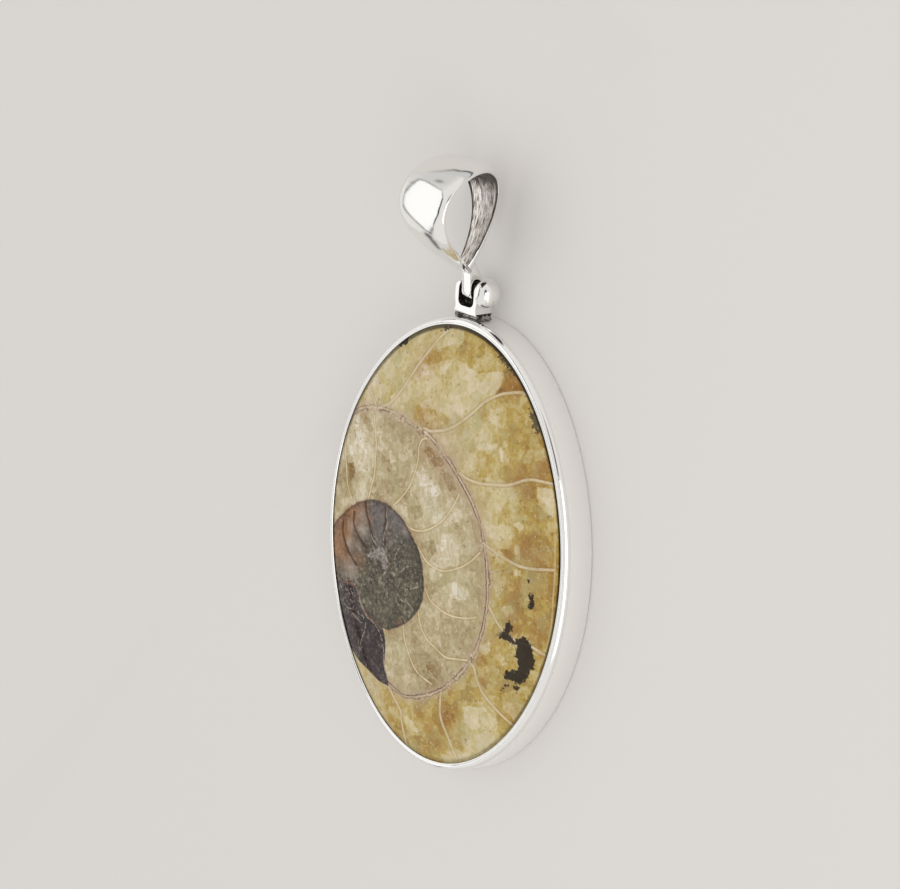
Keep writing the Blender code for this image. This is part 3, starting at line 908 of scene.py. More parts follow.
def read_stone(tree):
    """What the material reads at each point: the mesh's own numbers, and the noises that its parts share."""
    here = {"place": add_node(tree, "ShaderNodeTexCoord").outputs["Object"]}
    for name in STONE_VALUES:
        here[name] = add_node(tree, "ShaderNodeAttribute", attribute_name=name).outputs["Fac"]
    for number, (name, size, detail) in enumerate(STONE_NOISES):
        moved = add_node(tree, "ShaderNodeVectorMath", {0: here["place"], 1: ((7 + number * 5) * MM,) * 3})
        noise = {"Vector": moved, "Scale": per(size), "Detail": detail, "Roughness": NOISE_ROUGHNESS}
        here[name] = add_node(tree, "ShaderNodeTexNoise", noise)
    for name, lie in (("strokes", 20), ("strokes across", 115)):
        cleaved = {"Vector": here["place"], "Rotation": (0, 0, math.radians(lie)), "Scale": (1, 0.35, 1)}
        cleaved = add_node(tree, "ShaderNodeMapping", cleaved)
        strokes = {"Vector": cleaved, "Scale": per(0.3 * MM), "Detail": 3, "Roughness": 0.6}
        here[name] = add_node(tree, "ShaderNodeTexNoise", strokes)
    bent = {0: here["ragged"].outputs["Color"], 1: (0.5 * MM,) * 3, 2: here["place"]}
    bent = add_node(tree, "ShaderNodeVectorMath", bent, operation="MULTIPLY_ADD")
    crackle = {"Vector": bent, "Scale": per(1.3 * MM)}
    here["crackle"] = add_node(tree, "ShaderNodeTexVoronoi", crackle, feature="DISTANCE_TO_EDGE")
    uneven = {"Value": here["mottle"], "From Min": 0.35, "From Max": 0.58, "To Min": 0.5}
    here["uneven"] = add_node(tree, "ShaderNodeMapRange", uneven)
    return here


def cell_shades(tree, here, size):
    """Two random values for each crystal of that size."""
    bend = {0: here["ragged"].outputs["Color"], 1: (CRYSTAL_BEND * size,) * 3, 2: here["place"]}
    bend = add_node(tree, "ShaderNodeVectorMath", bend, operation="MULTIPLY_ADD")
    turned = add_node(tree, "ShaderNodeMapping", {"Vector": bend, "Rotation": (0, 0, CRYSTAL_TURN * size)})
    cells = {"Vector": turned, "Scale": per(size), "Randomness": 0.85}
    cells = add_node(tree, "ShaderNodeTexVoronoi", cells, distance="CHEBYCHEV")
    split = add_node(tree, "ShaderNodeSeparateColor", {0: cells.outputs["Color"]})
    return split.outputs[0], split.outputs[1]


def chamber_filling(tree, here, size):
    """Calcite from white to brown in straight-edged crystals, some grey-green, with orange in places."""
    cover = mask_inside(tree, here["crystal_cover"], 0.07 * MM, here["ragged"], 0.34 * MM)
    cover["To Max"] = 0.82
    around = total(tree, (here["tone"], 1.0), (1.0, 0.45))
    base = add_node(tree, "ShaderNodeMix", {0: cover, 2: around, 3: here["crystal_depth"]})
    large, large_hue = cell_shades(tree, here, size)
    middle, middle_hue = cell_shades(tree, here, size * 0.42)
    small, _ = cell_shades(tree, here, size * 0.15)
    turned = add_node(tree, "ShaderNodeMath", {0: large_hue, 1: 0.5}, operation="GREATER_THAN")
    strokes = add_node(tree, "ShaderNodeMix", {0: turned, 2: here["strokes"], 3: here["strokes across"]})
    noises = ((here["broad"], 0.20), (here["mottle"], 0.22), (here["grain"], 0.30), (strokes, 0.26))
    depth = total(tree, (base, 1.0), (large, 0.16), (middle, 0.20), (small, 0.14), *noises, (1.0, -0.74))
    inner = mask_inside(tree, here["inner_whorl"], 0.4 * MM, here["ragged"], 0.0)
    outer_colour = colour_ramp(tree, depth, CALCITE_COLOURS).outputs["Color"]
    colour = lay_over(tree, outer_colour, inner, 1.0, colour_ramp(tree, depth, INNER_COLOURS))
    hue = total(tree, (large_hue, 0.5), (middle_hue, 0.5), (here["broad"], 0.9), (1.0, -0.55))
    green = {"Value": hue, "From Min": 0.35, "From Max": 0.95, "To Max": 0.55}
    colour = lay_over(tree, colour, green, 1.0, "#ACA578")
    patchy = total(tree, (here["mottle"], 1.4), (here["grain"], 0.6), (1.0, -0.2))
    colour = lay_over(tree, colour, (here["orange"], patchy), 0.75, "#A06E34")
    cracks = {"Value": here["crackle"], "From Max": 0.07, "To Min": 1.0, "To Max": 0.0}
    cracked = {"Value": here["mottle"], "From Min": 0.46, "From Max": 0.62}
    colour = lay_over(tree, colour, (cracks, cracked, inner), 0.30, "#E2D8BA")
    colour = lay_over(tree, colour, (here["blush"], here["mottle"]), 1.2, "#AD9478")
    near_wall = mask_within(tree, here["wall"], 0.1 * MM, 0.9 * MM, here["mottle"], 0.5 * MM)
    colour = lay_over(tree, colour, near_wall, 0.45, "#AE9A7C")
    for noise, least, most, strength, hue_here in (
        ("fleck", 0.60, 0.70, 0.42, "#DDD3B8"),
        ("pit", 0.68, 0.74, 0.45, "#6E5732"),
    ):
        spots = {"Value": here[noise], "From Min": least, "From Max": most}
        colour = lay_over(tree, colour, spots, strength, hue_here)
    return colour


def walls_and_septa(tree, here, colour, half):
    """The whorl's double wall with its crumbs, and the cream septa between chambers, over a colour."""
    for name, reach, soft, by, strength, hue_here in (
        ("wall", 0.26 * MM, 0.34 * MM, 0.50 * MM, 0.55, "#BBA389"),
        ("septum", half * 1.8, 0.12 * MM, 0.07 * MM, 0.45, "#86693C"),
        ("septum", half, 0.07 * MM, 0.05 * MM, 0.92, "#D6C4A2"),
        ("inner_septum", half * 1.5, 0.12 * MM, 0.07 * MM, 0.42, "#8F7040"),
        ("inner_septum", half * 0.48, 0.06 * MM, 0.04 * MM, 0.95, "#E0D0A8"),
        ("seam", 0.05 * MM, 0.07 * MM, 0.04 * MM, 0.85, "#CDB483"),
    ):
        line = mask_within(tree, here[name], reach, soft, here["ragged"], by)
        colour = lay_over(tree, colour, (line, here["uneven"]), strength, hue_here)
    firm = {0: 1.0, 1: here["crumbly"]}
    firm = add_node(tree, "ShaderNodeMath", firm, operation="SUBTRACT", use_clamp=True)
    for centre, half_wide, noise, by, strength, hue_here in (
        (-0.03 * MM, 0.06 * MM, "ragged", 0.10 * MM, 0.75, "#CBB59C"),
        (0.11 * MM, 0.04 * MM, "ragged", 0.16 * MM, 1.0, "#644A3C"),
        (-0.17 * MM, 0.03 * MM, "mottle", 0.45 * MM, 0.90, "#745848"),
    ):
        line = stripe(tree, here["inner_whorl"], centre, half_wide, here[noise], by)
        colour = lay_over(tree, colour, (line, firm, here["uneven"]), strength, hue_here)
    crumbly = add_node(tree, "ShaderNodeMath", {0: here["crumbly"], 1: 0.15})
    for noise, least, most, reach, strength, hue_here in (
        ("fleck", 0.50, 0.60, 0.40 * MM, 0.70, "#DCCDB8"),
        ("pit", 0.56, 0.62, 0.34 * MM, 0.75, "#6E5040"),
    ):
        crumbs = {"Value": here[noise], "From Min": least, "From Max": most}
        close = mask_within(tree, here["wall"], reach * 0.4, reach, here["mottle"], 0.5 * MM)
        colour = lay_over(tree, colour, (crumbs, close, crumbly), strength, hue_here)
    return colour


def dark_limestone(tree, here):
    """The middle of the fossil: olive-grey mud stone, violet-grey chambers, and rust along one side."""
    speckle = total(tree, (here["grain"], 0.80), (here["fleck"], 0.40), (here["mottle"], 0.45), (1.0, -0.32))
    colour = colour_ramp(tree, speckle, LIMESTONE_COLOURS)
    patchy = total(tree, (here["mottle"], 1.3), (here["grain"], 0.9), (1.0, -0.35))
    for name, hue, strength in (
        ("dark_fill", "#332A27", 0.8),
        ("olive_fill", "#6E6A54", 0.5),
        ("grey_violet", "#7A6F71", 0.85),
        ("rust", "#AC774D", 0.9),
        ("pale_fill", "#BDAFA2", 0.75),
    ):
        spot = {0: here[name], 1: patchy}
        spot = add_node(tree, "ShaderNodeMath", spot, operation="MULTIPLY", use_clamp=True)
        colour = lay_over(tree, colour, spot, strength, hue)
    septa = mask_within(tree, here["dark_septum"], 0.06 * MM, 0.18 * MM, here["ragged"], 0.2 * MM)
    colour = lay_over(tree, colour, septa, 0.85, "#3B2412")
    patch = mask_inside(tree, here["patch"], 0.08 * MM, here["grain"], 0.55 * MM)
    return lay_over(tree, colour, patch, 0.9, colour_ramp(tree, here["grain"], PATCH_COLOURS))


def dark_middle(tree, here, colour):
    """The lens of mud and the dark middle with their fringe, pale lines and dust, over a colour."""
    mud = total(tree, (here["mottle"], 0.45), (here["grain"], 0.8), (1.0, -0.15))
    lens = mask_inside(tree, here["lens"], 0.12 * MM, here["ragged"], 0.10 * MM)
    colour = lay_over(tree, colour, lens, 1.0, colour_ramp(tree, mud, MUD_COLOURS))
    fringe = stripe(tree, here["core"], -0.12 * MM, 0.07 * MM, here["ragged"], 0.5 * MM)
    colour = lay_over(tree, colour, (fringe, here["uneven"]), 0.45, "#A98265")
    core = mask_inside(tree, here["core"], 0.10 * MM, here["ragged"], 0.14 * MM)
    colour = lay_over(tree, colour, core, 1.0, dark_limestone(tree, here))
    edge = stripe(tree, here["core"], 0.14 * MM, 0.12 * MM, here["ragged"], 0.4 * MM)
    colour = lay_over(tree, colour, edge, 0.45, "#3B2F2B")
    pale_line = mask_within(tree, here["pale_line"], 0.01 * MM, 0.08 * MM, here["ragged"], 0.10 * MM)
    for mask, noise, least, most, strength, hue in (
        (pale_line, "grain", 0.40, 0.52, 0.9, "#A89C8D"),
        (here["dust"], "fleck", 0.54, 0.62, 0.8, "#9F958A"),
    ):
        broken = {"Value": here[noise], "From Min": least, "From Max": most}
        colour = lay_over(tree, colour, (mask, broken), strength, hue)
    return colour


def polished_calcite():
    """Calcite and limestone, cut flat and polished: glassy gloss over colour that lies in the stone.

    The chambers are filled with yellow calcite whose crystals show as straight-edged patches. Cream septa and
    a double wall part them, and the middle is dark limestone with rust.
    """
    look = bpy.context.scene.stone_look
    material, tree = new_material("polished_calcite")
    here = read_stone(tree)
    colour = chamber_filling(tree, here, look.crystal_size)
    colour = walls_and_septa(tree, here, colour, look.septum_width / 2)
    colour = dark_middle(tree, here, colour)
    stain = mask_inside(tree, here["stain"], 0.06 * MM, here["grain"], 0.75 * MM)
    colour = lay_over(tree, colour, stain, 0.96, tuple(look.stain_colour))
    rim_stain = mask_inside(tree, here["rim_stain"], 0.1 * MM, here["grain"], 1.3 * MM)
    colour = lay_over(tree, colour, rim_stain, 0.8, "#2B251C")
    # Painted shade: the stone is darkened along its edge, in the crevice under the lip, most strongly on the
    # upper right.
    crevice_painted_shade = mask_within(tree, here["rim"], 0.22 * MM, 0.14 * MM, here["ragged"], 0.05 * MM)
    colour = lay_over(tree, colour, (crevice_painted_shade, here["rim_shade"]), 1.0, "#1C130C")
    gloss = {"Base Color": colour, "Roughness": 0.09, "IOR": 1.5, "Specular IOR Level": 0.18}
    return finish_material(material, gloss)


# Silver


OXIDE_COLOURS = ((0.06, "#0B0A09"), (0.26, "#5A534D"), (0.44, "#C4BBB1"), (0.72, "#FBF9F6"))
DARK_FINISH_COLOURS = ((0.38, "#100E0D"), (0.58, "#34302D"), (0.70, "#A39D96"))
# What the bail's mesh keeps at each vertex, and how much longer than wide the streaks inside it are
BAIL_VALUES = ("along", "across", "rimward", "topward")
STREAK_STRETCH = 0.055


def worked_silver(name, colour, stretch, line_size, roughness, relief=None):
    """Silver with the fine lines of its last tool, in its roughness and, where felt, in relief."""
    material, tree = new_material(name)
    place = add_node(tree, "ShaderNodeTexCoord").outputs["Object"]
    drawn = add_node(tree, "ShaderNodeVectorMath", {0: place, 1: stretch}, operation="MULTIPLY")
    lines = add_node(tree, "ShaderNodeTexNoise", {"Vector": drawn, "Scale": per(line_size), "Detail": 3})
    least, most = roughness
    worked = {"Value": lines, "From Min": 0.3, "From Max": 0.7, "To Min": least, "To Max": most}
    inputs = {"Base Color": colour, "Metallic": 1.0, "Roughness": worked}
    if relief:
        strength, depth = relief
        felt = {"Height": lines, "Strength": strength, "Distance": depth}
        inputs["Normal"] = add_node(tree, "ShaderNodeBump", felt)
    return finish_material(material, inputs)


def polished_silver():
    """Sterling silver buffed to a mirror: it shows the studio, a little softened by fine polishing lines."""
    colour = tuple(bpy.context.scene.silver_look.colour)
    return worked_silver("polished_silver", colour, (1, 1, 1), 1.6 * MM, (0.035, 0.075), (0.12, 0.02 * MM))


def satin_silver():
    """Silver sheet rubbed one way with fine abrasive: a soft sheen with short lines across the pendant."""
    colour = linear("#DEDAD2")
    return worked_silver("satin_silver", colour, (0.04, 1, 1), 0.12 * MM, (0.22, 0.36), (0.2, 0.01 * MM))


def brushed_silver():
    """The bezel's outer wall, rubbed smooth but not buffed: it shows the backdrop as a soft pale band."""
    colour = tuple(bpy.context.scene.silver_look.colour)
    return worked_silver("brushed_silver", colour, (1, 0.05, 1), 0.15 * MM, (0.42, 0.52))


def oxidised_silver():
    """Silver blackened inside the bail and brushed along it: grey sheen in fine streaks over near-black."""
    material, tree = new_material("oxidised_silver")
    along, across, rimward, topward = (
        add_node(tree, "ShaderNodeAttribute", attribute_name=name).outputs["Fac"] for name in BAIL_VALUES
    )
    slow = add_node(tree, "ShaderNodeMath", {0: along, 1: STREAK_STRETCH}, operation="MULTIPLY")
    spot = add_node(tree, "ShaderNodeCombineXYZ", {0: across, 1: slow})
    brushed = add_node(tree, "ShaderNodeTexNoise", {"Vector": spot, "Scale": per(0.07 * MM), "Detail": 4})
    broad = add_node(tree, "ShaderNodeTexNoise", {"Vector": spot, "Scale": per(0.9 * MM), "Detail": 2})
    place = add_node(tree, "ShaderNodeTexCoord").outputs["Object"]
    cloudy = add_node(tree, "ShaderNodeTexNoise", {"Vector": place, "Scale": per(0.5 * MM), "Detail": 4})
    dark = []
    for value, least, most, depth in (
        (rimward, 0.84, 1.0, 0.9),
        (rimward, -0.80, -0.93, 1.2),
        (topward, 0.60, 0.92, 1.05),
    ):
        fade = {"Value": value, "From Min": least, "From Max": most, "To Max": depth}
        dark.append((fade, -1.0))
    shade = total(tree, (brushed, 2.7), (broad, 0.6), (cloudy, 0.7), *dark, (1.0, -1.45))
    colour = colour_ramp(tree, shade, OXIDE_COLOURS)
    # Browner towards the hinge, and painted shade: darker towards the +X rim, the side away from the softbox.
    for value, least, most, share, strength, hue in (
        (topward, 0.75, 0.25, 0.3, 1.0, "#A89C8E"),
        (rimward, -0.45, 0.35, 0.5, 0.9, "#857C76"),
    ):
        bottom_tint_and_side_shade = {"Value": value, "From Min": least, "From Max": most, "To Max": share}
        colour = lay_over(tree, colour, bottom_tint_and_side_shade, strength, hue)
    rough = {"Value": shade, "From Min": 0.2, "From Max": 0.7, "To Min": 0.5, "To Max": 0.26}
    normal = add_node(tree, "ShaderNodeBump", {"Height": brushed, "Strength": 0.5, "Distance": 0.02 * MM})
    inputs = {"Base Color": colour, "Metallic": 1.0, "Roughness": rough, "Normal": normal}
    return finish_material(material, inputs)


def blackened_silver_and_painted_shade():
    """Silver left black by its oxide bath in the slot's recesses that no buff reaches, and dark as painted
    shade on the saddle's foot, where it meets the bezel.
    """
    material, tree = new_material("blackened_silver_and_painted_shade")
    place = add_node(tree, "ShaderNodeTexCoord").outputs["Object"]
    dark_mottle = add_node(tree, "ShaderNodeTexNoise", {"Vector": place, "Scale": per(0.25 * MM), "Detail": 4})
    height = add_node(tree, "ShaderNodeSeparateXYZ", {0: place}).outputs[1]
    # The foot's painted shade is a little lighter than the oxide in the slot.
    foot = {"Value": height, "From Min": FOOT_Y + 0.1 * MM, "From Max": FOOT_Y - 0.1 * MM, "To Max": 0.16}
    shade = add_node(tree, "ShaderNodeMath", {0: dark_mottle, 1: foot})
    colour = colour_ramp(tree, shade, DARK_FINISH_COLOURS)
    normal = add_node(tree, "ShaderNodeBump", {"Height": dark_mottle, "Strength": 0.4, "Distance": 0.03 * MM})
    inputs = {"Base Color": colour, "Metallic": 0.8, "Roughness": 0.45, "Normal": normal}
    return finish_material(material, inputs)


def shared(recipe):
    """A finish that several pieces share is made once. It has its recipe's name."""
    return bpy.data.materials.get(recipe.__name__) or recipe()


# The setting


def bezel_profile():
    """The band's cross-section, outward and up: a plain wall, burnished over the stone at its top."""
    foot = [(WALL_INSIDE, 0), (WALL_OUTSIDE - 0.16 * MM, 0), (WALL_OUTSIDE - 0.05 * MM, 0.05 * MM)]
    foot.append((WALL_OUTSIDE, 0.18 * MM))
    shoulder = [(WALL_OUTSIDE + out * MM, LIP_Z + up * MM) for out, up in BEZEL_SHOULDER]
    lip = [(out * MM, LIP_Z + up * MM) for out, up in BEZEL_LIP]
    return [*foot, *shoulder, *lip, (WALL_INSIDE, LIP_Z - 0.57 * MM)]


def sweep_tree():
    """Geometry nodes that carry a cross-section along a path and give it a material."""
    tree = bpy.data.node_groups.new("sweep_along_path", "GeometryNodeTree")
    face = tree.interface
    face.new_socket("Path", in_out="INPUT", socket_type="NodeSocketGeometry")
    face.new_socket("Cross-section", in_out="INPUT", socket_type="NodeSocketObject")
    face.new_socket("Material", in_out="INPUT", socket_type="NodeSocketMaterial")
    face.new_socket("Geometry", in_out="OUTPUT", socket_type="NodeSocketGeometry")
    given = add_node(tree, "NodeGroupInput")
    path = add_node(tree, "GeometryNodeMeshToCurve", {"Mesh": given.outputs["Path"]})
    level = add_node(tree, "GeometryNodeSetCurveNormal", {"Curve": path}, mode="Z_UP")
    section = add_node(tree, "GeometryNodeObjectInfo", {"Object": given.outputs["Cross-section"]})
    line = add_node(tree, "GeometryNodeMeshToCurve", {"Mesh": section.outputs["Geometry"]})
    ends = {"Curve": level, "Profile Curve": line, "Fill Caps": False}
    band = add_node(tree, "GeometryNodeCurveToMesh", ends)
    real = add_node(tree, "GeometryNodeRealizeInstances", {"Geometry": band})
    dressed = {"Geometry": real, "Material": given.outputs["Material"]}
    painted = add_node(tree, "GeometryNodeSetMaterial", dressed)
    add_node(tree, "NodeGroupOutput", {0: painted})
    return tree


def ring_object(name, points):
    """A closed line of edges."""
    count = len(points)
    return add_mesh(name, points, [], [], [(i, (i + 1) % count) for i in range(count)])


def make_bezel():
    x, y = oval_point(RIM_ANGLES, 0)
    bezel = ring_object("bezel_band", np.column_stack([x, y, np.zeros(RIM_STEPS)]))
    section = ring_object("bezel_section", [(outward, -z, 0) for outward, z in bezel_profile()])
    sweep = bezel.modifiers.new("Sweep", "NODES")
    sweep.node_group = sweep_tree()
    values = {"Cross-section": section, "Material": shared(polished_silver)}
    for item in sweep.node_group.interface.items_tree:
        if item.in_out == "INPUT" and item.name in values:
            sweep[item.identifier] = values[item.name]
    with_modifiers(bezel)
    bpy.data.objects.remove(section)
    face_outwards(bezel)
    smooth(bezel, 60)
    bezel.data.materials.append(shared(brushed_silver))
    for face in bezel.data.polygons:
        outward = face.normal.xy.dot(face.center.xy) > 0
        upright = abs(face.normal.z) < UPRIGHT
        face.material_index = int(outward and upright and face.center.z < BRUSHED_TOP_Z)
    take_place(bezel, "setting", ["bezel"])


def dress_back_plate():
    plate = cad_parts["back_plate"]
    for slot in plate.material_slots:
        slot.material = shared(satin_silver)


# The hinge


def make_hinge_mount():
    """The part's own saddle with its edges eased as a caster's wheel leaves them."""
    bm = bmesh.new()
    bm.from_mesh(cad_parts["hinge_mount"].data)
    bmesh.ops.remove_doubles(bm, verts=bm.verts, dist=0.002 * MM)
    bmesh.ops.dissolve_limit(bm, angle_limit=math.radians(2), verts=bm.verts, edges=bm.edges)
    for cut in WAIST_CUTS:
        parts = bm.verts[:] + bm.edges[:] + bm.faces[:]
        bmesh.ops.bisect_plane(bm, geom=parts, plane_co=(0, cut, 0), plane_no=(0, 1, 0))
    for vertex in bm.verts:
        if abs(vertex.co.x) > ARM_GAP / 2 + 0.05 * MM:
            vertex.co.x *= 1 - WAIST_DEPTH * math.exp(-(((vertex.co.y - WAIST_Y) / WAIST_REACH) ** 2))
    mesh = bpy.data.meshes.new("hinge_saddle")
    bm.to_mesh(mesh)
    bm.free()
    mesh.materials.clear()
    for finish in (polished_silver, blackened_silver_and_painted_shade):
        mesh.materials.append(shared(finish))
    for face in mesh.polygons:
        middle, facing = face.center, face.normal
        in_slot = abs(middle.x) < ARM_GAP / 2 + 0.02 * MM and middle.y > FLARE_Y and facing.x * middle.x <= 0
        on_front_or_end = abs(facing.z) > 0.7 or facing.y > 0.9 and abs(middle.x) > ARM_GAP / 2
        # The foot's top and sides take the dark finish as painted shade where the saddle meets the bezel; the
        # slot's inner faces take it as oxide.
        foot = middle.y < FOOT_Y and facing.z > -0.5
        face.material_index = 1 if (in_slot and not on_front_or_end) or foot else 0
    saddle = link_object("hinge_saddle", mesh)
    ease_edges(saddle, bpy.context.scene.silver_look.edge_ease, 4, 50, 42)
    take_place(saddle, "setting", ["hinge_mount"])


def make_rivet():
    """The hinge's pin: a round bar with a high dome on the right and a low tail on the left."""
    head = ARM_GAP / 2 + ARM_THICK + PIN_FIT
    profile = [(-head - PIN_TAIL_THICK, 0.0), (-head - PIN_TAIL_THICK, PIN_TAIL_RADIUS - 0.12 * MM)]
    profile += [(-head - 0.11 * MM, PIN_TAIL_RADIUS - 0.04 * MM), (-head - 0.05 * MM, PIN_TAIL_RADIUS)]
    profile += [(-head, PIN_TAIL_RADIUS), (-head, PIN_RADIUS), (head, PIN_RADIUS)]
    profile += [(head, PIN_DOME_RADIUS - 0.09 * MM), (head + 0.03 * MM, PIN_DOME_RADIUS - 0.02 * MM)]
    dome_steps, around = 14, 56
    for step in range(dome_steps + 1):
        angle = math.radians(86) * (1 - step / dome_steps)
        profile.append((head + PIN_DOME_RADIUS * math.cos(angle), PIN_DOME_RADIUS * math.sin(angle)))
    vertices = []
    for x, radius in profile:
        for i in range(around):
            angle = math.tau * i / around
            vertices.append((x, HINGE_Y + radius * math.cos(angle), HINGE_Z + radius * math.sin(angle)))
    rivet = add_mesh("hinge_rivet", vertices, ring_faces(len(profile), around), [shared(polished_silver)])
    face_outwards(rivet)
    smooth(rivet, 45)
    take_place(rivet, "setting", ["hinge_pin"])


# The bail


def front_to_rear(turn, front, rear):
    return (front + rear) / 2 + (front - rear) / 2 * math.sin(turn)


def drop_point(turn, tip, top, half_depth, fuller=0):
    """A point of a drop outline seen from its side. Turn 0 is the tip, and half a turn is the round top."""
    along = (tip + top) / 2 - (top - tip) / 2 * math.cos(turn)
    power = front_to_rear(turn, FRONT_POINTEDNESS, REAR_POINTEDNESS) - fuller + 1
    highest = 2 * (power / (power + 1)) ** (power / 2) / math.sqrt(power + 1)
    rise = math.sin(turn) * abs(math.sin(turn / 2)) ** (power - 1) / highest
    return np.array((along, half_depth * rise + BAIL_TIP_FORWARD * math.cos(turn / 2) ** 2))


def outer_drop(turn):
    return drop_point(turn, BAIL_TIP, BAIL_TOP, BAIL_HALF_DEPTH)


def hole_drop(turn):
    return drop_point(turn, BAIL_HOLE_TIP, BAIL_TOP - BAIL_WALL, BAIL_HALF_DEPTH - BAIL_WALL, HOLE_FULLER)


def bail_half_width(turn):
    side = front_to_rear(turn, FRONT_HALF_WIDTH, REAR_HALF_WIDTH)
    widening = front_to_rear(turn, FRONT_WIDENING, REAR_WIDENING)
    return TIP_HALF_WIDTH + (side - TIP_HALF_WIDTH) * abs(math.sin(turn / 2)) ** widening


def from_hinge(x, along, up):
    """A place measured along and above the bail's own axis, in the pendant's frame."""
    lean_y = along * math.cos(BAIL_LEAN) - up * math.sin(BAIL_LEAN)
    lean_z = along * math.sin(BAIL_LEAN) + up * math.cos(BAIL_LEAN)
    return (x, HINGE_Y + lean_y, HINGE_Z + lean_z)


def bail_section(turn):
    """One cross-section: points round the puffed outer face, the rounded rims and the flat inside.

    Also gives which of its faces are the inside's.
    """
    half = bail_half_width(turn)
    outer, inner = outer_drop(turn), hole_drop(turn)
    run = outer_drop(turn + 0.01) - outer_drop(turn - 0.01)
    out = np.array((-run[1], run[0])) / np.hypot(*run)
    deep = min(RIM_EASE_DEEP, np.hypot(*(outer - inner)) * 0.6)
    ease = min(RIM_EASE_ACROSS, half * 0.5)
    points = []
    full_puff = BAIL_PUFF * math.sin(turn / 2)
    for share in np.sin(np.linspace(-math.pi / 2, math.pi / 2, FACE_POINTS)):
        x = (half - ease) * share
        points.append((x, *(outer + out * full_puff * (1 - (x / half) ** 2))))
    face_count = len(points)
    right = []
    for angle in EASE_ANGLES:
        turned = math.radians(angle)
        x = half - ease + ease * math.sin(turned)
        rise = full_puff * (1 - (x / half) ** 2) - deep * (1 - math.cos(turned))
        right.append((x, *(outer + out * rise)))
    sunk = outer - out * deep
    for share in (0.5, 0.8):
        right.append((half, *(sunk + (inner - sunk) * share)))
    right.append((half - RIM_INNER_EASE, *inner))
    points += right
    for share in np.linspace(1, -1, INSIDE_FACES + 1)[1:-1]:
        points.append(((half - RIM_INNER_EASE) * share, *inner))
    points += [(-x, along, up) for x, along, up in reversed(right)]
    first_inside = face_count + len(right) - 1
    return points, range(first_inside, first_inside + INSIDE_FACES)


def make_bail():
    vertices, values = [], []
    travelled, last = 0.0, None
    for step in range(BAIL_STEPS):
        turn = math.tau * (step + 0.5) / BAIL_STEPS
        points, inside_span = bail_section(turn)
        spot = hole_drop(turn)
        travelled += 0 if last is None else float(np.hypot(*(spot - last)))
        last = spot
        for x, along, up in points:
            vertices.append(from_hinge(x, along, up))
            values.append((travelled, x, x / bail_half_width(turn), (1 - math.cos(turn)) / 2))
    around = len(points)
    finishes = [shared(polished_silver), shared(oxidised_silver)]
    bail = add_mesh("bail_loop", vertices, ring_faces(BAIL_STEPS, around, closed=True), finishes)
    slots = [int(i in inside_span) for i in range(around)] * BAIL_STEPS
    bail.data.polygons.foreach_set("material_index", slots)
    for name, column in zip(BAIL_VALUES, zip(*values)):
        give_values(bail, name, column)
    face_outwards(bail)
    smooth(bail, 40)
    take_place(bail, "bail", ["bail"])


def make_tongue():
    """The knuckle that the rivet passes through, soldered into the drop's tip."""
    reach = BAIL_HOLE_TIP - 0.2 * MM
    angles = [math.radians(60 + 240 * step / 32) for step in range(33)]
    outline = [(TONGUE_RADIUS * math.cos(angle), TONGUE_RADIUS * math.sin(angle)) for angle in angles]
    outline += [(reach, -NECK_HALF_THICK), (reach, NECK_HALF_THICK)]
    angles = [math.tau * step / 32 for step in range(32)]
    radius = PIN_RADIUS + PIN_FIT
    hole = [(radius * math.cos(angle), radius * math.sin(angle)) for angle in angles]
    bm = bmesh.new()
    for ring in (outline, hole):
        made = [bm.verts.new(from_hinge(-TONGUE_HALF_WIDTH, along, up)) for along, up in ring]
        for i, vertex in enumerate(made):
            bm.edges.new((vertex, made[(i + 1) % len(made)]))
    bmesh.ops.triangle_fill(bm, use_beauty=True, edges=bm.edges)
    side = bmesh.ops.extrude_face_region(bm, geom=bm.faces[:])
    moved = [part for part in side["geom"] if isinstance(part, bmesh.types.BMVert)]
    bmesh.ops.translate(bm, verts=moved, vec=(2 * TONGUE_HALF_WIDTH, 0, 0))
    bmesh.ops.recalc_face_normals(bm, faces=bm.faces)
    bmesh.ops.dissolve_limit(bm, angle_limit=math.radians(1), verts=bm.verts, edges=bm.edges)
    mesh = bpy.data.meshes.new("bail_tongue")
    bm.to_mesh(mesh)
    bm.free()
    mesh.materials.append(shared(polished_silver))
    tongue = link_object("bail_tongue", mesh)
    ease_edges(tongue, 0.08 * MM, 2, 60, 40)
    take_place(tongue, "bail", [])


# The studio


def make_floor():
    """Pale backdrop with a painted glow of its own, so that shadows on it stay soft."""
    material, tree = new_material("backdrop_with_painted_glow")
    place = add_node(tree, "ShaderNodeTexCoord").outputs["Object"]
    tooth = add_node(tree, "ShaderNodeTexNoise", {"Vector": place, "Scale": per(25 * MM), "Detail": 3})
    colour = lay_over(tree, tuple(bpy.context.scene.studio_look.floor_colour), tooth, 0.04, "#B8B0A8")
    # Painted glow: the backdrop gives light of its own, which lightens the shadows on it.
    glow = {"Emission Color": colour, "Emission Strength": BACKDROP_GLOW}
    finish_material(material, {"Base Color": colour, "Roughness": 0.9, **glow})
    corners = [(x * FLOOR_REACH, y * FLOOR_REACH, 0) for x, y in ((-1, -1), (1, -1), (1, 1), (-1, 1))]
    add_mesh("studio_floor", corners, [(0, 1, 2, 3)], [material])


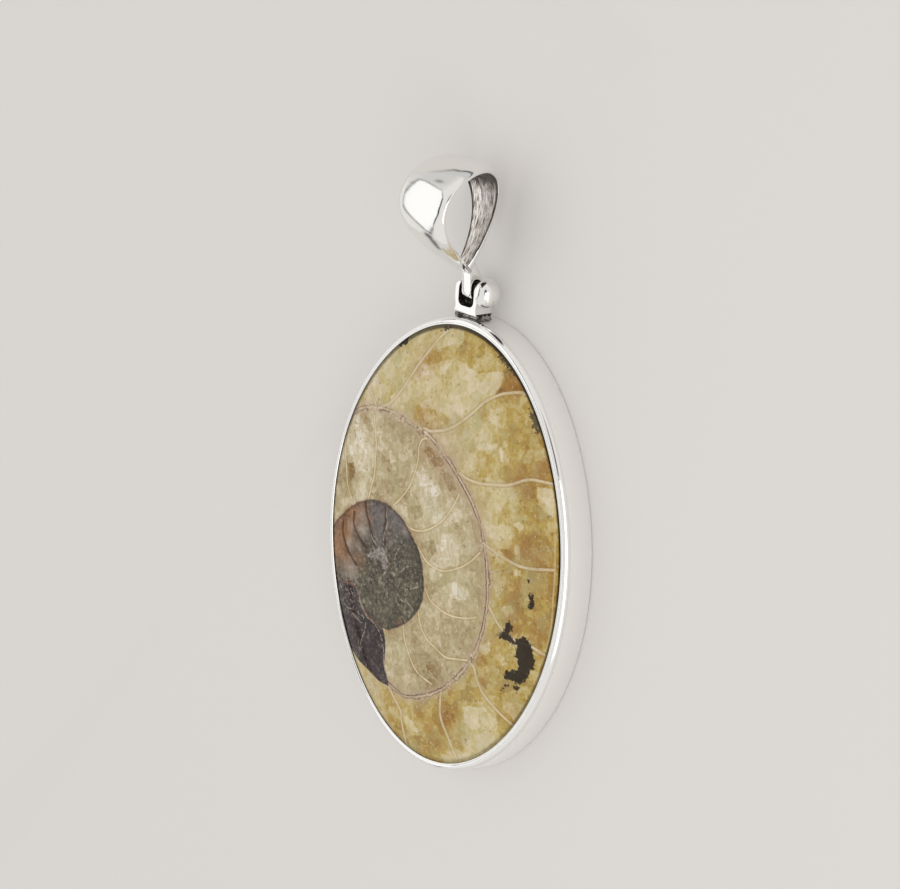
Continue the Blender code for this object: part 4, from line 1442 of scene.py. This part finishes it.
def make_world():
    """A pale tent round the table, greyer behind the bail, with a dark gap where camera and tripod stand."""
    world = bpy.data.worlds.new("pale_tent")
    world.use_nodes = True
    tree = world.node_tree
    tree.nodes.clear()
    towards = add_node(tree, "ShaderNodeTexCoord").outputs["Generated"]
    right, up, back = view_axes()
    toward = {}
    axes = {"right": right / math.sin(CAMERA_GAP[0]), "up": up / math.sin(CAMERA_GAP[1]), "back": back}
    for name, axis in axes.items():
        dot = add_node(tree, "ShaderNodeVectorMath", {0: towards, 1: axis}, operation="DOT_PRODUCT")
        toward[name] = dot.outputs["Value"]
    behind = add_node(tree, "ShaderNodeMath", {0: toward["back"], 1: 0}, operation="LESS_THAN")
    gap = add_node(tree, "ShaderNodeCombineXYZ", {0: toward["right"], 1: toward["up"]})
    gap = add_node(tree, "ShaderNodeVectorMath", {0: gap}, operation="LENGTH").outputs["Value"]
    gap = add_node(tree, "ShaderNodeMath", {0: behind, 1: FAR_FROM_GAP, 2: gap}, operation="MULTIPLY_ADD")
    fades = [(gap, *CAMERA_GAP_FADE)]
    for facing, inner, outer, inside in TENT_SPOTS:
        dot = {0: towards, 1: Vector(facing).normalized()}
        cosine = add_node(tree, "ShaderNodeVectorMath", dot, operation="DOT_PRODUCT").outputs["Value"]
        angle = add_node(tree, "ShaderNodeMath", {0: cosine}, operation="ARCCOSINE")
        fades.append((angle, math.radians(inner), math.radians(outer), inside))
    strength = bpy.context.scene.studio_look.room_light
    for distance, inner, outer, inside in fades:
        shade = {"Value": distance, "From Min": inner, "From Max": outer, "To Min": inside}
        strength = add_node(tree, "ShaderNodeMath", {0: shade, 1: strength}, operation="MULTIPLY")
    glow = add_node(tree, "ShaderNodeBackground", {"Color": linear("#FBF9F7"), "Strength": strength})
    add_node(tree, "ShaderNodeOutputWorld", {"Surface": glow})
    bpy.context.scene.world = world


def glow_material(name, strength):
    """A surface that only gives light, as even as a lit diffusing cloth."""
    material, _ = new_material(name)
    return finish_material(material, {"Color": linear("#FFFFFF"), "Strength": strength}, "ShaderNodeEmission")


def hide_from_camera(thing):
    """A part of the studio that shows only in reflections and by its light."""
    thing.visible_camera = False
    thing.visible_shadow = False
    return thing


def make_panel(name, facing, outline, distance, material):
    """A flat panel that faces the bail."""
    facing = Vector(facing).normalized()
    along = Vector((0, 1, 0))
    along = (along - along.dot(facing) * facing).normalized()
    rise = along.cross(facing)
    if rise.z < 0:
        rise.negate()
    corners = [Vector(BAIL_PLACE) + (facing + along * a + rise * b) * distance for a, b in outline]
    return hide_from_camera(add_mesh(name, corners, [tuple(range(len(corners)))], [material]))


def grown(outline, by):
    """The outline moved outwards all round."""
    outline = np.array(outline)
    run = np.roll(outline, -1, axis=0) - outline
    run /= np.hypot(*run.T)[:, None]
    right = np.stack([run[:, 1], -run[:, 0]], axis=1)
    before = np.roll(right, 1, axis=0)
    turned = (right + before) / (1 + (right * before).sum(1))[:, None]
    return outline + turned * by


def make_lights():
    """A big soft light over the pendant's left in its thin black frame, and a smaller one on its right."""
    cloth = glow_material("softbox_cloth", SOFTBOX_RADIANCE)
    black = glow_material("softbox_frame", 0.0)
    make_panel("softbox", SOFTBOX_FACING, SOFTBOX_OUTLINE, SOFTBOX_DISTANCE, cloth)
    wider = grown(SOFTBOX_OUTLINE, SOFTBOX_FRAME)
    wider[:, 1] += SOFTBOX_FAR_FRAME * np.clip(wider[:, 1] / SOFTBOX_FRAME_RISE, 0, 1)
    frame_panel = make_panel("softbox_rim", SOFTBOX_FACING, wider, SOFTBOX_DISTANCE * FRAME_BEHIND, black)
    frame_panel.visible_diffuse = False
    fill = glow_material("fill_cloth", FILL_RADIANCE)
    make_panel("fill_light", FILL_FACING, FILL_OUTLINE, FILL_DISTANCE, fill)


def make_table():
    """A grey table past the backdrop's edge, and a dark strap. Out of the picture, they show in the bail."""
    edge, strap = np.array(BACKDROP_EDGE), np.array(STRAP)
    shade, grey = glow_material("edge_shade", SHADE_RADIANCE), glow_material("grey_table", TABLE_RADIANCE)
    foot = np.array(BAIL_PLACE[:2])
    for name, near, far, material in (
        ("strap", strap[:, 0], strap[:, 1], shade),
        ("backdrop_edge", edge, edge * EDGE_SHADE_REACH, shade),
        ("table_beyond", edge * EDGE_SHADE_REACH, edge * TABLE_REACH, grey),
    ):
        corners = [(*(foot + p), STRIP_LIFT) for p in (*near, *far[::-1])]
        strip = hide_from_camera(add_mesh(name, corners, [tuple(range(len(corners)))], [material]))
        strip.visible_diffuse = False


def make_camera():
    right, up, back = view_axes()
    camera = bpy.data.cameras.new("photo_camera")
    camera.sensor_width = SENSOR_WIDTH
    camera.lens = SENSOR_WIDTH * CAMERA_DISTANCE / (PICTURE_WIDTH / PIXELS_PER_METRE)
    camera.clip_start = NEAR_CLIP
    camera.clip_end = FAR_CLIP
    sideways = (PICTURE_WIDTH / 2 - STONE_IN_PHOTO[0]) / PIXELS_PER_METRE
    upwards = (STONE_IN_PHOTO[1] - PICTURE_HEIGHT / 2) / PIXELS_PER_METRE
    aim = Vector((0, 0, LIP_Z)) + right * sideways + up * upwards
    place = Matrix((right, up, back)).transposed().to_4x4()
    place.translation = aim + back * CAMERA_DISTANCE
    view = link_object("photo_camera", camera)
    view.matrix_world = place
    bpy.context.scene.camera = view


def make_studio():
    for part in (make_floor, make_world, make_lights, make_table, make_camera):
        part()
    bpy.context.scene.view_settings.view_transform = "Standard"


# The add-on


class StoneLook(bpy.types.PropertyGroup):
    """Sizes and colours of the fossil."""

    septum_width: bpy.props.FloatProperty(
        name="Septum width",
        description="Width of the cream lines between chambers",
        default=0.18 * MM,
        min=0,
        precision=5,
        unit="LENGTH",
    )
    crystal_size: bpy.props.FloatProperty(
        name="Crystal size",
        description="Usual width of the calcite crystals in a chamber",
        default=2.6 * MM,
        min=0.1 * MM,
        precision=5,
        unit="LENGTH",
    )
    stain_colour: bpy.props.FloatVectorProperty(
        name="Stain colour",
        description="Colour of the dark mineral stains",
        size=4,
        default=linear("#1E130B"),
        min=0,
        max=1,
        subtype="COLOR",
    )


class SilverLook(bpy.types.PropertyGroup):
    """Finish of the silver."""

    colour: bpy.props.FloatVectorProperty(
        name="Silver colour",
        description="Tint of the polished silver",
        size=4,
        default=linear("#FCFBF9"),
        min=0,
        max=1,
        subtype="COLOR",
    )
    edge_ease: bpy.props.FloatProperty(
        name="Edge ease",
        description="How wide the hinge's edges are rounded",
        default=0.2 * MM,
        min=0,
        precision=5,
        unit="LENGTH",
    )


class StudioLook(bpy.types.PropertyGroup):
    """The room that the pendant lies in."""

    floor_colour: bpy.props.FloatVectorProperty(
        name="Floor colour",
        description="Colour of the backdrop under the pendant",
        size=4,
        default=linear("#C3C0BD"),
        min=0,
        max=1,
        subtype="COLOR",
    )
    room_light: bpy.props.FloatProperty(
        name="Room light", description="Strength of the even light from all round", default=0.86, min=0
    )


class PENDANT_OT_stone(bpy.types.Operator):
    """Make the polished ammonite"""

    bl_idname = "pendant.stone"
    bl_label = "Ammonite"

    def execute(self, context):
        make_stone()
        return {"FINISHED"}


class PENDANT_OT_setting(bpy.types.Operator):
    """Make the bezel and finish the back plate"""

    bl_idname = "pendant.setting"
    bl_label = "Setting"

    def execute(self, context):
        make_bezel()
        dress_back_plate()
        return {"FINISHED"}


class PENDANT_OT_hinge(bpy.types.Operator):
    """Make the saddle on the bezel and the rivet through it"""

    bl_idname = "pendant.hinge"
    bl_label = "Hinge"

    def execute(self, context):
        make_hinge_mount()
        make_rivet()
        return {"FINISHED"}


class PENDANT_OT_bail(bpy.types.Operator):
    """Make the bail's loop and its knuckle"""

    bl_idname = "pendant.bail"
    bl_label = "Bail"

    def execute(self, context):
        make_bail()
        make_tongue()
        return {"FINISHED"}


class PENDANT_OT_studio(bpy.types.Operator):
    """Make the floor, the lights and the camera"""

    bl_idname = "pendant.studio"
    bl_label = "Studio"

    def execute(self, context):
        make_studio()
        return {"FINISHED"}


OPERATORS = (PENDANT_OT_stone, PENDANT_OT_setting, PENDANT_OT_hinge, PENDANT_OT_bail, PENDANT_OT_studio)


class PENDANT_PT_panel(bpy.types.Panel):
    """Lists the pendant's pieces and looks"""

    bl_idname = "PENDANT_PT_panel"
    bl_label = "Ammonite pendant"
    bl_space_type = "VIEW_3D"
    bl_region_type = "UI"
    bl_category = "Pendant"

    def draw(self, context):
        for operator in OPERATORS:
            self.layout.operator(operator.bl_idname)
        for name in LOOKS:
            looks = getattr(context.scene, name)
            for setting in looks.bl_rna.properties.keys():
                if setting not in ("rna_type", "name"):
                    self.layout.prop(looks, setting)


LOOKS = {"stone_look": StoneLook, "silver_look": SilverLook, "studio_look": StudioLook}
CLASSES = (*LOOKS.values(), *OPERATORS, PENDANT_PT_panel)


def register():
    for added in CLASSES:
        bpy.utils.register_class(added)
    for name, group in LOOKS.items():
        setattr(bpy.types.Scene, name, bpy.props.PointerProperty(type=group))


def unregister():
    for name in LOOKS:
        delattr(bpy.types.Scene, name)
    for added in reversed(CLASSES):
        bpy.utils.unregister_class(added)


def main():
    register()
    bpy.ops.pendant.stone()
    bpy.ops.pendant.setting()
    bpy.ops.pendant.hinge()
    bpy.ops.pendant.bail()
    bpy.ops.pendant.studio()


if __name__ == "__main__":
    main()
